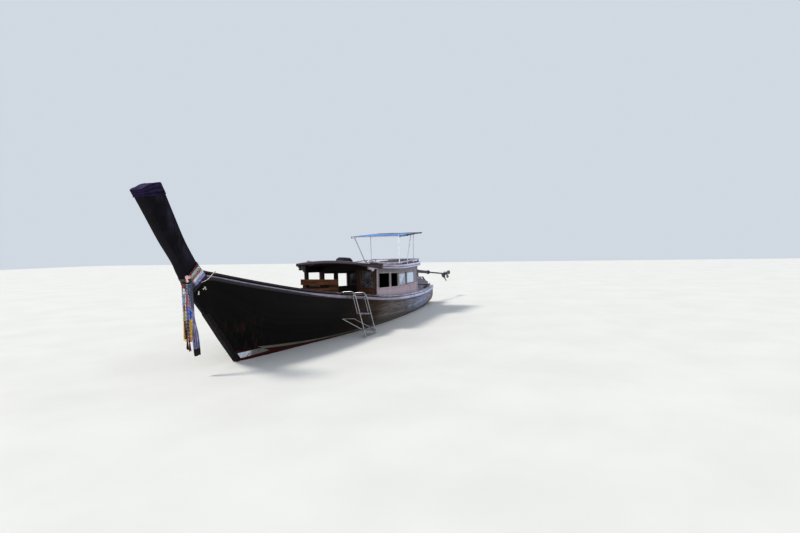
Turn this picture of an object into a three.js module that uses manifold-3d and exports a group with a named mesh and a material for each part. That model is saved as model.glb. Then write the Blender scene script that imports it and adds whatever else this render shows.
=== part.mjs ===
// Wooden longtail boat with cabin, roof deck, sun canopy and a raised tail with propeller.
// Millimetres. +X to the bow, +Y to port, +Z up. The origin lies on the waterline in the
// centre plane, 4.95 m abaft the point where the stem enters the water.
import * as THREE from 'three';
import { mergeVertices } from 'three/addons/utils/BufferGeometryUtils.js';
import Module from 'manifold-3d';

const wasm = await Module();
wasm.setup();

const GAP = 0.3;             // clearance between pieces that touch

// Hull lines: one row for each station.
// [x, half-beam at the sheer, sheer height, height of the planking's lower edge, fullness]
const STATIONS = [
  [-6200, 560, 645, -100, 5.5],
  [-5000, 740, 600, -220, 4.6],
  [-3500, 900, 605, -340, 4.0],
  [-1500, 1000, 675, -425, 3.4],
  [0, 1020, 790, -455, 3.1],
  [1500, 980, 970, -465, 2.8],
  [2600, 875, 1100, -462, 2.2],
  [3400, 775, 1210, -450, 1.7],
  [3900, 695, 1292, -430, 1.45],
  [4400, 590, 1388, -350, 1.25],
  [4750, 505, 1460, -170, 1.12],
  [5000, 430, 1515, 85, 1.06],
  [5400, 300, 1608, 560, 1.05],
  [5780, 170, 1702, 1010, 1.04],
];
const SECTION_STEPS = [0, 0.04, 0.11, 0.21, 0.35, 0.55, 1];
const STATION_SPACING = 520;   // distance between worked-out sections
const KEEL_HALF = 60;          // half-width of the planking's flat lower edge
const PLANK = 40;              // planking thickness
const BILGE = -62;             // seam between bottom and side planking
const SIDE_JOINT = 1150;       // where the fore and aft lengths of the side planking meet

// Keel, stem and prow
const KEEL_DEPTH = 75;
const STEM_DEPTH = 112;
const STEM_HALF = 50;
// Prow post sections: [z, aft edge x, fore edge x, half-width aft, half-width fore]
const PROW = [
  [1010.3, 5780.3, 5890, 58, 46],
  [1350, 5780.3, 6180, 112, 52],
  [1600, 5800, 6330, 125, 80],
  [1750, 6000, 6418, 105, 96],
  [1930, 6133, 6512, 100, 98],
  [2300, 6392, 6785, 104, 102],
  [2700, 6612, 7042, 110, 108],
  [3040, 6795, 7258, 116, 116],
  [3210, 6890, 7360, 119, 121],
];
// Slanting cut of the prow's top: [x, z], seen from the side
const PROW_TOP = [[7560, 2916], [7060, 3165], [6800, 3208], [6800, 3600], [7900, 3600], [7900, 2916]];
const PROW_CHAMFER = 16;
const CAP_CLOTH = 14;          // how far the cloth cap stands off the post
const CAP_LOW = [[6700, 3052], [7050, 2985], [7450, 2975]];   // lower edge of the cloth cap: x, z
const WRAP_CLOTH = 34;         // bulk of the cloth wound round the neck
const WRAP_AT = [6172, 1670];  // middle of the wound cloth: x, z
const WRAP_HEIGHT = 310;
const WRAP_LEAN = 43;

// Gunwale and rub rail
const SHEER_CAP = 36;
const SHEER_CAP_OUT = 22;
const SHEER_CAP_IN = 190;
const RUB_RAIL_TOP = 22;       // below the sheer
const RUB_RAIL_DEPTH = 82;
const RUB_RAIL_THICK = 34;

// Frames, floors and decks
const FRAME_AT = [-3400, -2600, -1800, -1000, -300, 500, 1200, 1900, 2600, 3150];
const FRAME_WIDTH = 55;
const FRAME_DEPTH = 42;
const SOLE = -30;              // top of the floorboards
const BOARD = 28;              // floorboard and deck thickness
const FOREDECK_AFT = 3320;
const FOREDECK_DROP = 150;     // deck below the sheer
const STERN_DECK_FORE = -3793;
const STERN_DECK_TOP = 440;

// Cabin
const WALL = 30;
const WALL_INSET = 160;        // wall's centre inside the sheer line
const CABIN_FORE = 95;         // fore face of the front bulkhead
const CABIN_AFT = -3790;       // aft face of the aft bulkhead
const DOOR_FROM = -325;
const DOOR_TO = 275;
const AFT_DOOR_FROM = 40;
const AFT_DOOR_TO = 560;
const BULKHEAD_PANE = [415, 790];
// Side windows, from the bow aft: [fore edge x, aft edge x]
const WINDOWS = [[-70, -860], [-985, -1590], [-1720, -2370], [-2530, -3310]];
// Window sills and heads, sloping with the sheer: [x, sill z, head z]
const WINDOW_LINES = [[-3790, 950, 1340], [-1655, 964, 1352], [95, 1034, 1428]];
const WALL_JOINTS = [-1655, -922];   // where a side wall's lengths meet, on window posts
const PANE = 6;
// Wing boards from the cabin's after corners down to the gunwales: [x, height of the top]
const WING = [[-5900, 821], [-4830, 980], [-3790.3, 1164]];
const WING_BOARD = 24;

// Roof: height of its upper side at the edge, by x
const ROOF_LINE = [[-3880, 1620], [-3000, 1604], [-1700, 1600], [0, 1668], [800, 1712], [1200, 1737]];
const ROOF_OUT = -30;           // roof's edge outside the hull's half-beam
const ROOF_AFT = -3880;
const ROOF_FORE = 1200;
const ROOF_BOARD = 26;
const ROOF_CAMBER = 75;
const FASCIA = 30;
// Lower edge of the edge board below the roof's edge, by x
const FASCIA_LOW = [[-3800, 116], [-1000, 112], [0, 104], [700, 80], [1200, 62]];
const BEAM_AT = [330, 600, 1100];
const BEAM_DEPTH = 36;
// Roof railing: posts' x, and the rail's height above the roof's edge by x
const RAIL_POSTS = [680, 60, -560, -1180, -1800, -2420, -3080, -3790];
const RAIL_TOP = [[-3800, 128], [-3000, 122], [-2300, 106], [-1600, 84], [-750, 62], [0, 64], [720, 118]];
const POST = 84;
const FORE_POST_X = 870;
const KNEE = 24;

// Canopy over the roof
const CANOPY_HALF = 820;
const CANOPY_LINE = [[-4180, 2640], [-3400, 2597], [-2700, 2552], [-1920, 2502]];
// Canopy legs: [side, foot x, foot y, head x]
const CANOPY_LEGS = [
  [1, -1955, 790, -1965], [1, -2640, 790, -3100], [1, -3350, 770, -3360],
  [-1, -2900, 770, -2060], [-1, -3350, 770, -3360],
];
const CANOPY_SHEET = 12;
const CANOPY_TUBE = 19;

// Ladder on the port gunwale
const LADDER_X = 1675;
const LADDER_HALF = 325;
const LADDER_TUBE = 16;
const LADDER_TOP = [1112, 985];      // y and z at the head of the straight rails
const LADDER_FOOT = [1422, -240];
const LADDER_TREADS = [550, 155, -215];
const STAND_OFF_Z = [160, 400];      // at the rails, at the hull
const STAND_OFF_X = [1640, 2150];

// Tail: pivot place, swing to port and droop at rest
const PIVOT = [-5750, 0, 1225];
const SWING = 7;
const DROOP = 4.9;
const TAIL_LENGTH = 3200;
// Skeg fin and its spike, seen from the side: [ahead of the propeller, height]
const SKEG = [[600, -20], [200, -20], [190, -100], [225, -155], [50, -300], [72, -316], [300, -180],
  [420, -172], [530, -130], [590, -70]];
const PROPELLER_RADIUS = 185;
const PROPELLER_TURN = -45;      // first blade from straight up, towards port
const YOKE_DROP = 200;         // pivot's height above the stand

const deg = THREE.MathUtils.degToRad;

const paint = (color, roughness = 0.7, metalness = 0) =>
  new THREE.MeshStandardMaterial({ color, roughness, metalness });

// Smooth value between the rows of a table, column k, at x (Catmull-Rom on the table's own x)
function along(table, x, k = 1) {
  let i = 0;
  while (i < table.length - 2 && x > table[i + 1][0]) i += 1;
  const x0 = table[i][0];
  const x1 = table[i + 1][0];
  const slope = (a, b) => (table[b][k] - table[a][k]) / (table[b][0] - table[a][0]);
  const last = table.length - 1;
  const m0 = i > 0 ? slope(i - 1, i + 1) : slope(0, 1);
  const m1 = i + 1 < last ? slope(i, i + 2) : slope(last - 1, last);
  const h = x1 - x0;
  const t = Math.min(Math.max((x - x0) / h, 0), 1);
  const a = table[i][k];
  const b = table[i + 1][k];
  return (2 * t ** 3 - 3 * t ** 2 + 1) * a + (t ** 3 - 2 * t ** 2 + t) * h * m0
    + (3 * t ** 2 - 2 * t ** 3) * b + (t ** 3 - t ** 2) * h * m1;
}

const halfBeam = (x) => along(STATIONS, x, 1);
const sheer = (x) => along(STATIONS, x, 2);
const keelLine = (x) => along(STATIONS, x, 3);
const fullness = (x) => along(STATIONS, x, 4);

// Half-section of the hull at x, from the lower edge up: [y, z] on the outside of the planking
function section(x) {
  const low = keelLine(x);
  const high = sheer(x);
  const beam = halfBeam(x);
  const p = fullness(x);
  return SECTION_STEPS.map((s) => [
    KEEL_HALF + (beam - KEEL_HALF) * (1 - (1 - s) ** p),
    low + (high - low) * s,
  ]);
}

// Half-breadth outside the planking at x and height z
function breadth(x, z) {
  const pts = section(x);
  let i = 0;
  while (i < pts.length - 2 && z > pts[i + 1][1]) i += 1;
  const t = (z - pts[i][1]) / (pts[i + 1][1] - pts[i][1]);
  return pts[i][0] + (pts[i + 1][0] - pts[i][0]) * t;
}

// The x of the worked-out sections between two ends
function stationsBetween(from, to) {
  const list = [from];
  const fixed = STATIONS.map((row) => row[0]);
  for (let i = 0; i < fixed.length - 1; i += 1) {
    const parts = Math.max(1, Math.round((fixed[i + 1] - fixed[i]) / STATION_SPACING));
    for (let j = 0; j < parts; j += 1) {
      const x = fixed[i] + ((fixed[i + 1] - fixed[i]) * j) / parts;
      if (x > from + 1 && x < to - 1) list.push(x);
    }
  }
  list.push(to);
  return list;
}

// Closed solid through rings of equally many points, with flat ends
function loft(rings) {
  const n = rings[0].length;
  const pos = rings.flat(2);
  const index = [];
  for (let i = 0; i < rings.length - 1; i += 1) {
    for (let j = 0; j < n; j += 1) {
      const a = i * n + j;
      const b = i * n + ((j + 1) % n);
      index.push(a, b, b + n, a, b + n, a + n);
    }
  }
  const flat = (ring, normal) => {
    const u = new THREE.Vector3(normal.y, normal.z, normal.x).cross(normal).normalize();
    const v = new THREE.Vector3().crossVectors(normal, u);
    return ring.map((p) => new THREE.Vector2(u.dot(new THREE.Vector3(...p)), v.dot(new THREE.Vector3(...p))));
  };
  const cap = (ring, base, flip) => {
    const normal = new THREE.Vector3();
    ring.forEach((p, j) => {
      const q = ring[(j + 1) % n];
      normal.add(new THREE.Vector3(...p).cross(new THREE.Vector3(...q)));
    });
    normal.normalize();
    const tris = THREE.ShapeUtils.triangulateShape(flat(ring, normal), []);
    tris.forEach(([a, b, c]) => index.push(...(flip
      ? [base + a, base + c, base + b] : [base + a, base + b, base + c])));
  };
  cap(rings[0], 0, true);
  cap(rings[rings.length - 1], (rings.length - 1) * n, false);
  // A list of rings may run either way round, so the faces are turned outwards by the volume's sign
  const corner = (k) => new THREE.Vector3(pos[3 * k], pos[3 * k + 1], pos[3 * k + 2]);
  let volume = 0;
  for (let i = 0; i < index.length; i += 3) {
    volume += corner(index[i]).dot(corner(index[i + 1]).cross(corner(index[i + 2])));
  }
  const geometry = new THREE.BufferGeometry();
  geometry.setAttribute('position', new THREE.Float32BufferAttribute(pos, 3));
  geometry.setIndex(volume < 0 ? index.reverse() : index);
  return geometry;
}

// Geometry to manifold solid and back
function solid(geometry) {
  const g = geometry.clone();
  g.deleteAttribute('normal');
  g.deleteAttribute('uv');
  const merged = mergeVertices(g, 1e-3);
  const made = new wasm.Manifold(new wasm.Mesh({
    numProp: 3,
    vertProperties: new Float32Array(merged.attributes.position.array),
    triVerts: new Uint32Array(merged.index.array),
  }));
  return made;
}

function geometryOf(made) {
  const mesh = made.getMesh();
  const geometry = new THREE.BufferGeometry();
  geometry.setAttribute('position', new THREE.Float32BufferAttribute(mesh.vertProperties, 3));
  geometry.setIndex(new THREE.Uint32BufferAttribute(mesh.triVerts, 1));
  return geometry;
}

const joined = (list) => list.reduce((a, b) => a.add(b));

function block(x0, x1, y0, y1, z0, z1) {
  const g = new THREE.BoxGeometry(Math.abs(x1 - x0), Math.abs(y1 - y0), Math.abs(z1 - z0));
  g.translate((x0 + x1) / 2, (y0 + y1) / 2, (z0 + z1) / 2);
  return solid(g);
}

// Round bar between two points
function bar(a, b, radius, sides = 8, endRadius = radius) {
  const from = new THREE.Vector3(...a);
  const to = new THREE.Vector3(...b);
  const g = new THREE.CylinderGeometry(endRadius, radius, from.distanceTo(to), sides);
  const turn = new THREE.Quaternion().setFromUnitVectors(
    new THREE.Vector3(0, 1, 0), to.clone().sub(from).normalize());
  g.applyQuaternion(turn);
  g.translate(...from.add(to).multiplyScalar(0.5).toArray());
  return solid(g);
}

// Round tube along a smooth curve through points
function tube(points, radius, steps, sides = 8) {
  const path = new THREE.CatmullRomCurve3(points.map((p) => new THREE.Vector3(...p)), false, 'centripetal');
  const ring = new THREE.Shape(Array.from({ length: sides }, (_, i) => {
    const a = (2 * Math.PI * i) / sides;
    return new THREE.Vector2(radius * Math.cos(a), radius * Math.sin(a));
  }));
  return solid(new THREE.ExtrudeGeometry(ring, { steps, extrudePath: path, bevelEnabled: false }));
}

// Outline in the XZ plane, extruded along Y between y0 and y1
function slabXZ(outline, y0, y1) {
  const shape = new THREE.Shape(outline.map(([x, z]) => new THREE.Vector2(x, z)));
  const g = new THREE.ExtrudeGeometry(shape, { depth: y1 - y0, bevelEnabled: false });
  g.rotateX(Math.PI / 2);
  g.translate(0, y1, 0);
  return solid(g);
}

const boat = new THREE.Group();

function piece(name, made, material, parent = boat) {
  const geometry = made.isBufferGeometry ? made : geometryOf(made);
  const mesh = new THREE.Mesh(geometry, material);
  mesh.name = name;
  parent.add(mesh);
  return mesh;
}

// Hull planking: an open trough, in a bottom and two lengths of planking on each side
function hullTrough() {
  const rings = stationsBetween(-6200, 5780).map((x) => {
    const out = section(x);
    const top = out[out.length - 1][1];
    const floor = out[0][1] + PLANK;
    const inner = out.map(([y, z]) => [
      y - PLANK, floor + ((z - out[0][1]) * (top - floor)) / (top - out[0][1]),
    ]);
    return [
      ...[...out].reverse().map(([y, z]) => [x, y, z]),
      ...out.map(([y, z]) => [x, -y, z]),
      ...[...inner].reverse().map(([y, z]) => [x, -y, z]),
      ...inner.map(([y, z]) => [x, y, z]),
    ];
  });
  return loft(rings);
}

// Room inside the planking, drawn in by a clearance
function interior(clear) {
  const rings = stationsBetween(-6200, 5780).map((x) => {
    const out = section(x);
    const top = out[out.length - 1][1];
    const floor = out[0][1] + PLANK;
    const half = out.map(([y, z], i) => [
      Math.max(y - PLANK - clear, 14 + 0.2 * i ** 2),
      floor + ((z - out[0][1]) * (top - floor)) / (top - out[0][1]) + clear,
    ]);
    half.push([half[half.length - 1][0], top + clear + 40]);
    return [
      ...[...half].reverse().map(([y, z]) => [x, -y, z]),
      ...half.map(([y, z]) => [x, y, z]),
    ];
  });
  return solid(loft(rings));
}

// Body of the hull outside its planking, grown by a clearance
function outside(grow) {
  return solid(loft(stationsBetween(-6200, 5780).map((x) => {
    const half = section(x).map(([y, z]) => [y + grow, z]);
    return [
      ...[...half].reverse().map(([y, z]) => [x, y, z]),
      ...half.map(([y, z]) => [x, -y, z]),
    ];
  })));
}

const shellColour = paint('#1d1a1c', 0.55);
const planking = solid(hullTrough());
const below = block(-7000, 7000, -1500, 1500, -1000, BILGE - GAP / 2);
const above = (side, from, to) => block(from, to, side * GAP / 2, side * 1500, BILGE + GAP / 2, 3000);
piece('hull_bottom', planking.intersect(below), shellColour);
for (const [word, side] of [['port', 1], ['starboard', -1]]) {
  piece(`hull_side_${word}_fore`, planking.intersect(above(side, SIDE_JOINT + GAP, 7000)), shellColour);
  piece(`hull_side_${word}_aft`, planking.intersect(above(side, -7000, SIDE_JOINT)), shellColour);
}

const room = interior(GAP);
const hullBody = outside(GAP);
const frameFaces = interior(FRAME_DEPTH + GAP);
const roomInFrames = interior(FRAME_DEPTH + 2 * GAP);

// Keel and stem: one timber under the planking's lower edge and up the raked stem
function keelAndStem() {
  const xs = stationsBetween(-6200, 5780);
  const upper = xs.map((x) => [x, keelLine(x) - GAP]);
  const lower = [];
  xs.forEach((x, i) => {
    const a = xs[Math.max(i - 1, 0)];
    const b = xs[Math.min(i + 1, xs.length - 1)];
    const dx = b - a;
    const dz = keelLine(b) - keelLine(a);
    const length = Math.hypot(dx, dz);
    const depth = KEEL_DEPTH + (STEM_DEPTH - KEEL_DEPTH) * Math.max(0, dz / length);
    lower.push([x + (dz / length) * depth, keelLine(x) - (dx / length) * depth]);
  });
  const top = PROW[0];
  upper[upper.length - 1] = [5780, top[0] - GAP];
  lower[lower.length - 1] = [top[2], top[0] - GAP];
  lower[0][0] = -6200;
  return slabXZ([...upper, ...lower.reverse()], -STEM_HALF, STEM_HALF);
}
piece('keel_and_stem', keelAndStem(), paint('#3a2320', 0.7));

// Prow post: the tall raked timber, square with eased corners
function prowLoft(grow, from = -Infinity, to = Infinity) {
  const c = PROW_CHAMFER;
  const rows = PROW.filter((row) => row[0] >= from && row[0] <= to);
  return rows.map(([z, aft, fore, wa, wf]) => [
    [aft - grow, wa - c + grow, z], [aft - grow, -(wa - c) - grow, z],
    [aft + c - grow, -wa - grow, z], [fore - c + grow, -wf - grow, z],
    [fore + grow, -(wf - c) - grow, z], [fore + grow, wf - c + grow, z],
    [fore - c + grow, wf + grow, z], [aft + c - grow, wa + grow, z],
  ]);
}
const prowTop = (grow) => slabXZ(PROW_TOP.map(([x, z], i) => [x + (i < 2 ? 0.7 * grow : 0), z + grow]),
  -500, 500);
const prowSolid = solid(loft(prowLoft(0))).subtract(prowTop(0));
piece('prow_post', prowSolid, paint('#17151c', 0.5));

// Cloth cap over the top of the prow
const prowClear = solid(loft(prowLoft(GAP))).subtract(prowTop(GAP));
function prowCap() {
  const rings = prowLoft(CAP_CLOTH, 2700);
  const top = rings[rings.length - 1].map(([x, y, z]) => [x + 6, y, z + 3 * CAP_CLOTH]);
  const outer = solid(loft([...rings, top])).subtract(prowTop(CAP_CLOTH));
  return outer.subtract(prowClear).intersect(slabXZ([...CAP_LOW, [7900, 2975], [7900, 4000], [6000, 4000],
    [6000, 3052]], -500, 500));
}
piece('prow_cap_cloth', prowCap(), paint('#2c2440', 0.9));

// Cloth wound round the neck of the prow, square to the post's rake
function neckBand(grow) {
  const outer = solid(loft(prowLoft(WRAP_CLOTH + grow, 1300, 2350)));
  const band = new THREE.BoxGeometry(900, 600, WRAP_HEIGHT + 2 * grow);
  band.rotateY(deg(WRAP_LEAN));
  band.translate(WRAP_AT[0], 0, WRAP_AT[1]);
  return outer.intersect(solid(band));
}
const neckWraps = () => neckBand(0).subtract(prowClear);
piece('neck_wraps', neckWraps(), paint('#b6b2c8', 0.9));

// Gunwale boards and rub rails, both sides
function sheerCap(side, grow = 0) {
  const rings = stationsBetween(-6200, 5740).map((x) => {
    const y = halfBeam(x);
    const z = sheer(x) + GAP;
    const inner = Math.max(y - SHEER_CAP_IN, 8) - grow;
    const outer = y + SHEER_CAP_OUT + grow;
    return [
      [x, side * outer, z - grow], [x, side * outer, z + SHEER_CAP + grow],
      [x, side * inner, z + SHEER_CAP + grow], [x, side * inner, z - grow],
    ];
  });
  return loft(rings);
}
const capsClear = solid(sheerCap(1, GAP)).add(solid(sheerCap(-1, GAP)));

function rubRail(side) {
  const rings = stationsBetween(-6200, 5770).map((x) => {
    const high = sheer(x) - RUB_RAIL_TOP;
    const low = high - RUB_RAIL_DEPTH;
    const yh = breadth(x, high);
    const yl = breadth(x, low);
    return [
      [x, side * (yl - 20), low], [x, side * (yl + RUB_RAIL_THICK), low + 6],
      [x, side * (yh + RUB_RAIL_THICK), high - 6], [x, side * (yh - 20), high],
    ];
  });
  return solid(loft(rings)).subtract(hullBody);
}

for (const [word, side] of [['port', 1], ['starboard', -1]]) {
  piece(`gunwale_${word}`, solid(sheerCap(side)).subtract(prowClear), paint('#262028', 0.6));
  piece(`rub_rail_${word}`, rubRail(side), paint('#9a8fae', 0.7));
}

// Decks and floors inside the planking
function deckPlate(from, to, topAt) {
  const rings = stationsBetween(from, to).map((x) => {
    const z = topAt(x);
    return [[x, 1500, z], [x, -1500, z], [x, -1500, z - BOARD], [x, 1500, z - BOARD]];
  });
  return solid(loft(rings));
}
const foredeckTop = (x) => sheer(x) - FOREDECK_DROP;
const foredeck = deckPlate(FOREDECK_AFT, 5700, foredeckTop).intersect(room);
piece('foredeck', foredeck, paint('#5d4636', 0.8));

const sternDeck = block(-6150, STERN_DECK_FORE, -1500, 1500, STERN_DECK_TOP - BOARD, STERN_DECK_TOP)
  .intersect(room);
piece('stern_deck', sternDeck, paint('#57434a', 0.8));

const floorAt = (from, to) => block(from, to, -1500, 1500, SOLE - BOARD, SOLE).intersect(roomInFrames);
piece('cockpit_floor', floorAt(CABIN_FORE + 3, FOREDECK_AFT - 30), paint('#6b4c36', 0.8));
piece('cabin_floor', floorAt(CABIN_AFT + WALL + 3, CABIN_FORE - WALL - 3), paint('#6b4c36', 0.8));

// Frames with their floor timbers, held by two stringers
function frames() {
  const ribs = joined(FRAME_AT.map((x) => block(x - FRAME_WIDTH / 2, x + FRAME_WIDTH / 2,
    -1500, 1500, -600, 1600)));
  const hollow = frameFaces.intersect(block(-7000, 7000, -1500, 1500, SOLE - BOARD - GAP, 2000));
  const band = room.subtract(hollow);
  const keelson = block(FRAME_AT[0], FRAME_AT[FRAME_AT.length - 1], -70, 70, -600, 200);
  const body = band.intersect(ribs.add(keelson));
  const cover = solid(loft(stationsBetween(-6300, 5780).map((x) => [
    [x, 1500, sheer(x) + 900], [x, -1500, sheer(x) + 900],
    [x, -1500, sheer(x) - 4], [x, 1500, sheer(x) - 4],
  ])));
  return body.subtract(cover);
}
piece('frames', frames(), paint('#59402f', 0.85));

// Transom board, up to the gunwale boards
const transomTop = sheer(-6180) + SHEER_CAP;
const transom = block(-6195, -6152, -1500, 1500, -600, sheer(-6195) - 2)
  .intersect(room)
  .add(block(-6195, -6152, -(halfBeam(-6195) - SHEER_CAP_IN - 2), halfBeam(-6195) - SHEER_CAP_IN - 2,
    400, transomTop));
piece('transom', transom, paint('#7a5a50', 0.8));

// Fore peak bulkhead under the foredeck's after edge
const overForedeck = solid(loft(stationsBetween(FOREDECK_AFT, 5700).map((x) => {
  const under = foredeckTop(x) - BOARD - GAP;
  return [[x, 1500, under + 2000], [x, -1500, under + 2000], [x, -1500, under], [x, 1500, under]];
})));
piece('fore_peak_bulkhead', block(FOREDECK_AFT + 4, FOREDECK_AFT + 4 + BOARD, -1500, 1500,
  SOLE - BOARD, 3000).intersect(roomInFrames).subtract(overForedeck), paint('#5d4636', 0.8));

// Cabin side walls on the gunwale boards, with their window openings
const roofEdge = (x) => along(ROOF_LINE, x);
const roofUnder = (x) => roofEdge(x) - ROOF_BOARD;
const capTop = (x) => sheer(x) + GAP + SHEER_CAP;
const wallY = (x) => halfBeam(x) - WALL_INSET;
const roofHalf = (x) => halfBeam(x) + ROOF_OUT;

// Cambered plate of the roof between two ends; high and low are the distances of its two
// faces from the line of the roof's upper side
function roofPlate(inset, high, low, from, to) {
  const rings = stationsBetween(from, to).map((x) => {
    const half = roofHalf(x) - inset;
    const ys = [half, half * 0.6, 0, -half * 0.6, -half];
    const top = (y) => roofEdge(x) + ROOF_CAMBER * (1 - (y / half) ** 2);
    return [
      ...ys.map((y) => [x, y, top(y) + high]),
      ...[...ys].reverse().map((y) => [x, y, top(y) + low]),
    ];
  });
  return solid(loft(rings));
}
const ROOF_INNER = FASCIA + GAP;     // roof boards inside the roof's outline
const aboveRoof = roofPlate(ROOF_INNER, 900, -ROOF_BOARD - GAP, ROOF_AFT, ROOF_FORE);
const belowRoofTop = roofPlate(ROOF_INNER, GAP, -900, ROOF_AFT, ROOF_FORE);

// Straight lines between the rows of a table, column k, at x
function broken(table, x, k) {
  let i = 0;
  while (i < table.length - 2 && x > table[i + 1][0]) i += 1;
  const [a, b] = [table[i], table[i + 1]];
  return a[k] + ((x - a[0]) / (b[0] - a[0])) * (b[k] - a[k]);
}
const sill = (x) => broken(WINDOW_LINES, x, 1);
const head = (x) => broken(WINDOW_LINES, x, 2);

function cabinWall(side, from, to) {
  const rings = stationsBetween(from, to).map((x) => {
    const y = wallY(x);
    const low = capTop(x) - 15;
    const high = roofEdge(x) + 60;
    return [
      [x, side * (y + WALL / 2), low], [x, side * (y + WALL / 2), high],
      [x, side * (y - WALL / 2), high], [x, side * (y - WALL / 2), low],
    ];
  });
  const wall = solid(loft(rings)).subtract(capsClear).subtract(aboveRoof);
  return WINDOWS.filter(([fore, aft]) => aft > from && fore <= to).reduce((w, [fore, aft]) => {
    const end = fore === to ? to + 5 : fore;
    return w.subtract(slabXZ([[aft, sill(aft)], [end, sill(end)], [end, head(end)], [aft, head(aft)]], -1400, 1400));
  }, wall);
}

// Sliding panes in the two aft windows, on their sills
function windowPane(side, [fore, aft]) {
  const y = side * wallY((fore + aft) / 2);
  const [a, b] = [aft + GAP * 2, fore - GAP * 2];
  return slabXZ([[a, sill(a) + GAP], [b, sill(b) + GAP], [b, head(b) - GAP], [a, head(a) - GAP]],
    y - PANE / 2, y + PANE / 2);
}

// Wing board on the gunwale, from the cabin's after corner aft
function wingBoard(side) {
  return solid(loft(stationsBetween(WING[0][0], WING[WING.length - 1][0]).map((x) => {
    const y = wallY(x);
    const high = along(WING, x);
    return [
      [x, side * (y + WING_BOARD / 2), capTop(x) - 15], [x, side * (y + WING_BOARD / 2), high],
      [x, side * (y - WING_BOARD / 2), high], [x, side * (y - WING_BOARD / 2), capTop(x) - 15],
    ];
  }))).subtract(capsClear);
}

const glass = paint('#b9cdd8', 0.1);
for (const [word, side] of [['port', 1], ['starboard', -1]]) {
  const [aftJoint, foreJoint] = WALL_JOINTS;
  const corner = WINDOWS[0][0];
  for (const [part, from, to] of [['corner', corner + GAP, CABIN_FORE], ['fore', foreJoint + GAP, corner],
    ['middle', aftJoint + GAP, foreJoint], ['aft', CABIN_AFT, aftJoint]]) {
    piece(`cabin_wall_${word}_${part}`, cabinWall(side, from, to), paint('#a58f98', 0.75));
  }
  piece(`stern_wing_${word}`, wingBoard(side), paint('#8d8298', 0.75));
  piece(`window_pane_${word}_3`, windowPane(side, WINDOWS[2]), glass);
  piece(`window_pane_${word}_4`, windowPane(side, WINDOWS[3]), glass);
}

// Front and aft bulkheads between the walls
function bulkhead(x0, x1) {
  const inner = Math.min(wallY(x0), wallY(x1)) - WALL / 2 - 8;
  const low = block(x0, x1, -1500, 1500, SOLE + GAP, Math.min(sheer(x0), sheer(x1)) - 5)
    .intersect(roomInFrames);
  const high = block(x0, x1, -inner, inner, Math.min(sheer(x0), sheer(x1)) - 60, roofEdge(x1) + 150);
  return low.add(high).subtract(aboveRoof).subtract(capsClear);
}
const frontBulkhead = bulkhead(CABIN_FORE - WALL, CABIN_FORE)
  .subtract(block(-100, 400, DOOR_FROM, DOOR_TO, SOLE, 1500))
  .subtract(block(-100, 400, BULKHEAD_PANE[0], BULKHEAD_PANE[1], 1052, 1490))
  .subtract(block(-100, 400, -735, -420, 1045, 1450));
piece('front_bulkhead', frontBulkhead, paint('#5e3a2a', 0.7));
piece('bulkhead_pane_port', block(CABIN_FORE - 18, CABIN_FORE - 12, BULKHEAD_PANE[0] + GAP,
  BULKHEAD_PANE[1] - GAP, 1052 + GAP, 1490 - GAP), glass);
const aftBulkhead = bulkhead(CABIN_AFT, CABIN_AFT + WALL)
  .subtract(block(CABIN_AFT - 100, CABIN_AFT + 100, AFT_DOOR_FROM, AFT_DOOR_TO, STERN_DECK_TOP + 60, 1490));
piece('aft_bulkhead', aftBulkhead, paint('#7a5a50', 0.8));

// Roof: cambered boards with a deep edge board all round
const roof = roofPlate(ROOF_INNER, 0, -ROOF_BOARD, ROOF_AFT + FASCIA + GAP, ROOF_FORE - FASCIA - GAP);
piece('roof_boards', roof, paint('#6a5b5e', 0.85));

function fascia() {
  const box = (inset, from, to, high, low) => solid(loft(stationsBetween(from, to).map((x) => {
    const z = roofEdge(x);
    const half = roofHalf(x) - inset;
    return [[x, half, z + high], [x, -half, z + high], [x, -half, z - low(x)], [x, half, z - low(x)]];
  })));
  const outer = box(0, ROOF_AFT, ROOF_FORE, 10, (x) => along(FASCIA_LOW, x));
  const inner = box(FASCIA, ROOF_AFT + FASCIA, ROOF_FORE - FASCIA, 200, () => 400);
  // Crowned upper part of the two end boards
  const crown = roofPlate(0, 10, -90, ROOF_AFT, ROOF_FORE)
    .subtract(block(ROOF_AFT + FASCIA, ROOF_FORE - FASCIA, -1500, 1500, 0, 3000));
  return outer.subtract(inner).add(crown);
}
piece('roof_fascia', fascia(), paint('#6d5560', 0.75));

// Post under the fore end of the roof, starboard side
function forePost() {
  const y = -wallY(FORE_POST_X);
  const x0 = FORE_POST_X - POST / 2;
  const x1 = FORE_POST_X + POST / 2;
  return block(x0, x1, y - POST / 2, y + POST / 2, capTop(x0) - 15, roofUnder(x1) + 80)
    .subtract(capsClear).subtract(aboveRoof);
}
piece('fore_post', forePost(), paint('#3f2a26', 0.75));

// Beams across under the fore part of the roof
function roofBeams() {
  const grid = joined([
    ...BEAM_AT.map((x) => block(x - 25, x + 25, -1500, 1500, 0, 2500)),
    block(BEAM_AT[0], BEAM_AT[BEAM_AT.length - 1], -25, 25, 0, 2500),
  ]);
  return grid.intersect(roofPlate(ROOF_INNER + 3 * KNEE, -ROOF_BOARD - GAP, -ROOF_BOARD - BEAM_DEPTH,
    ROOF_AFT, ROOF_FORE));
}
piece('roof_beams', roofBeams(), paint('#4a322a', 0.8));

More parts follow.
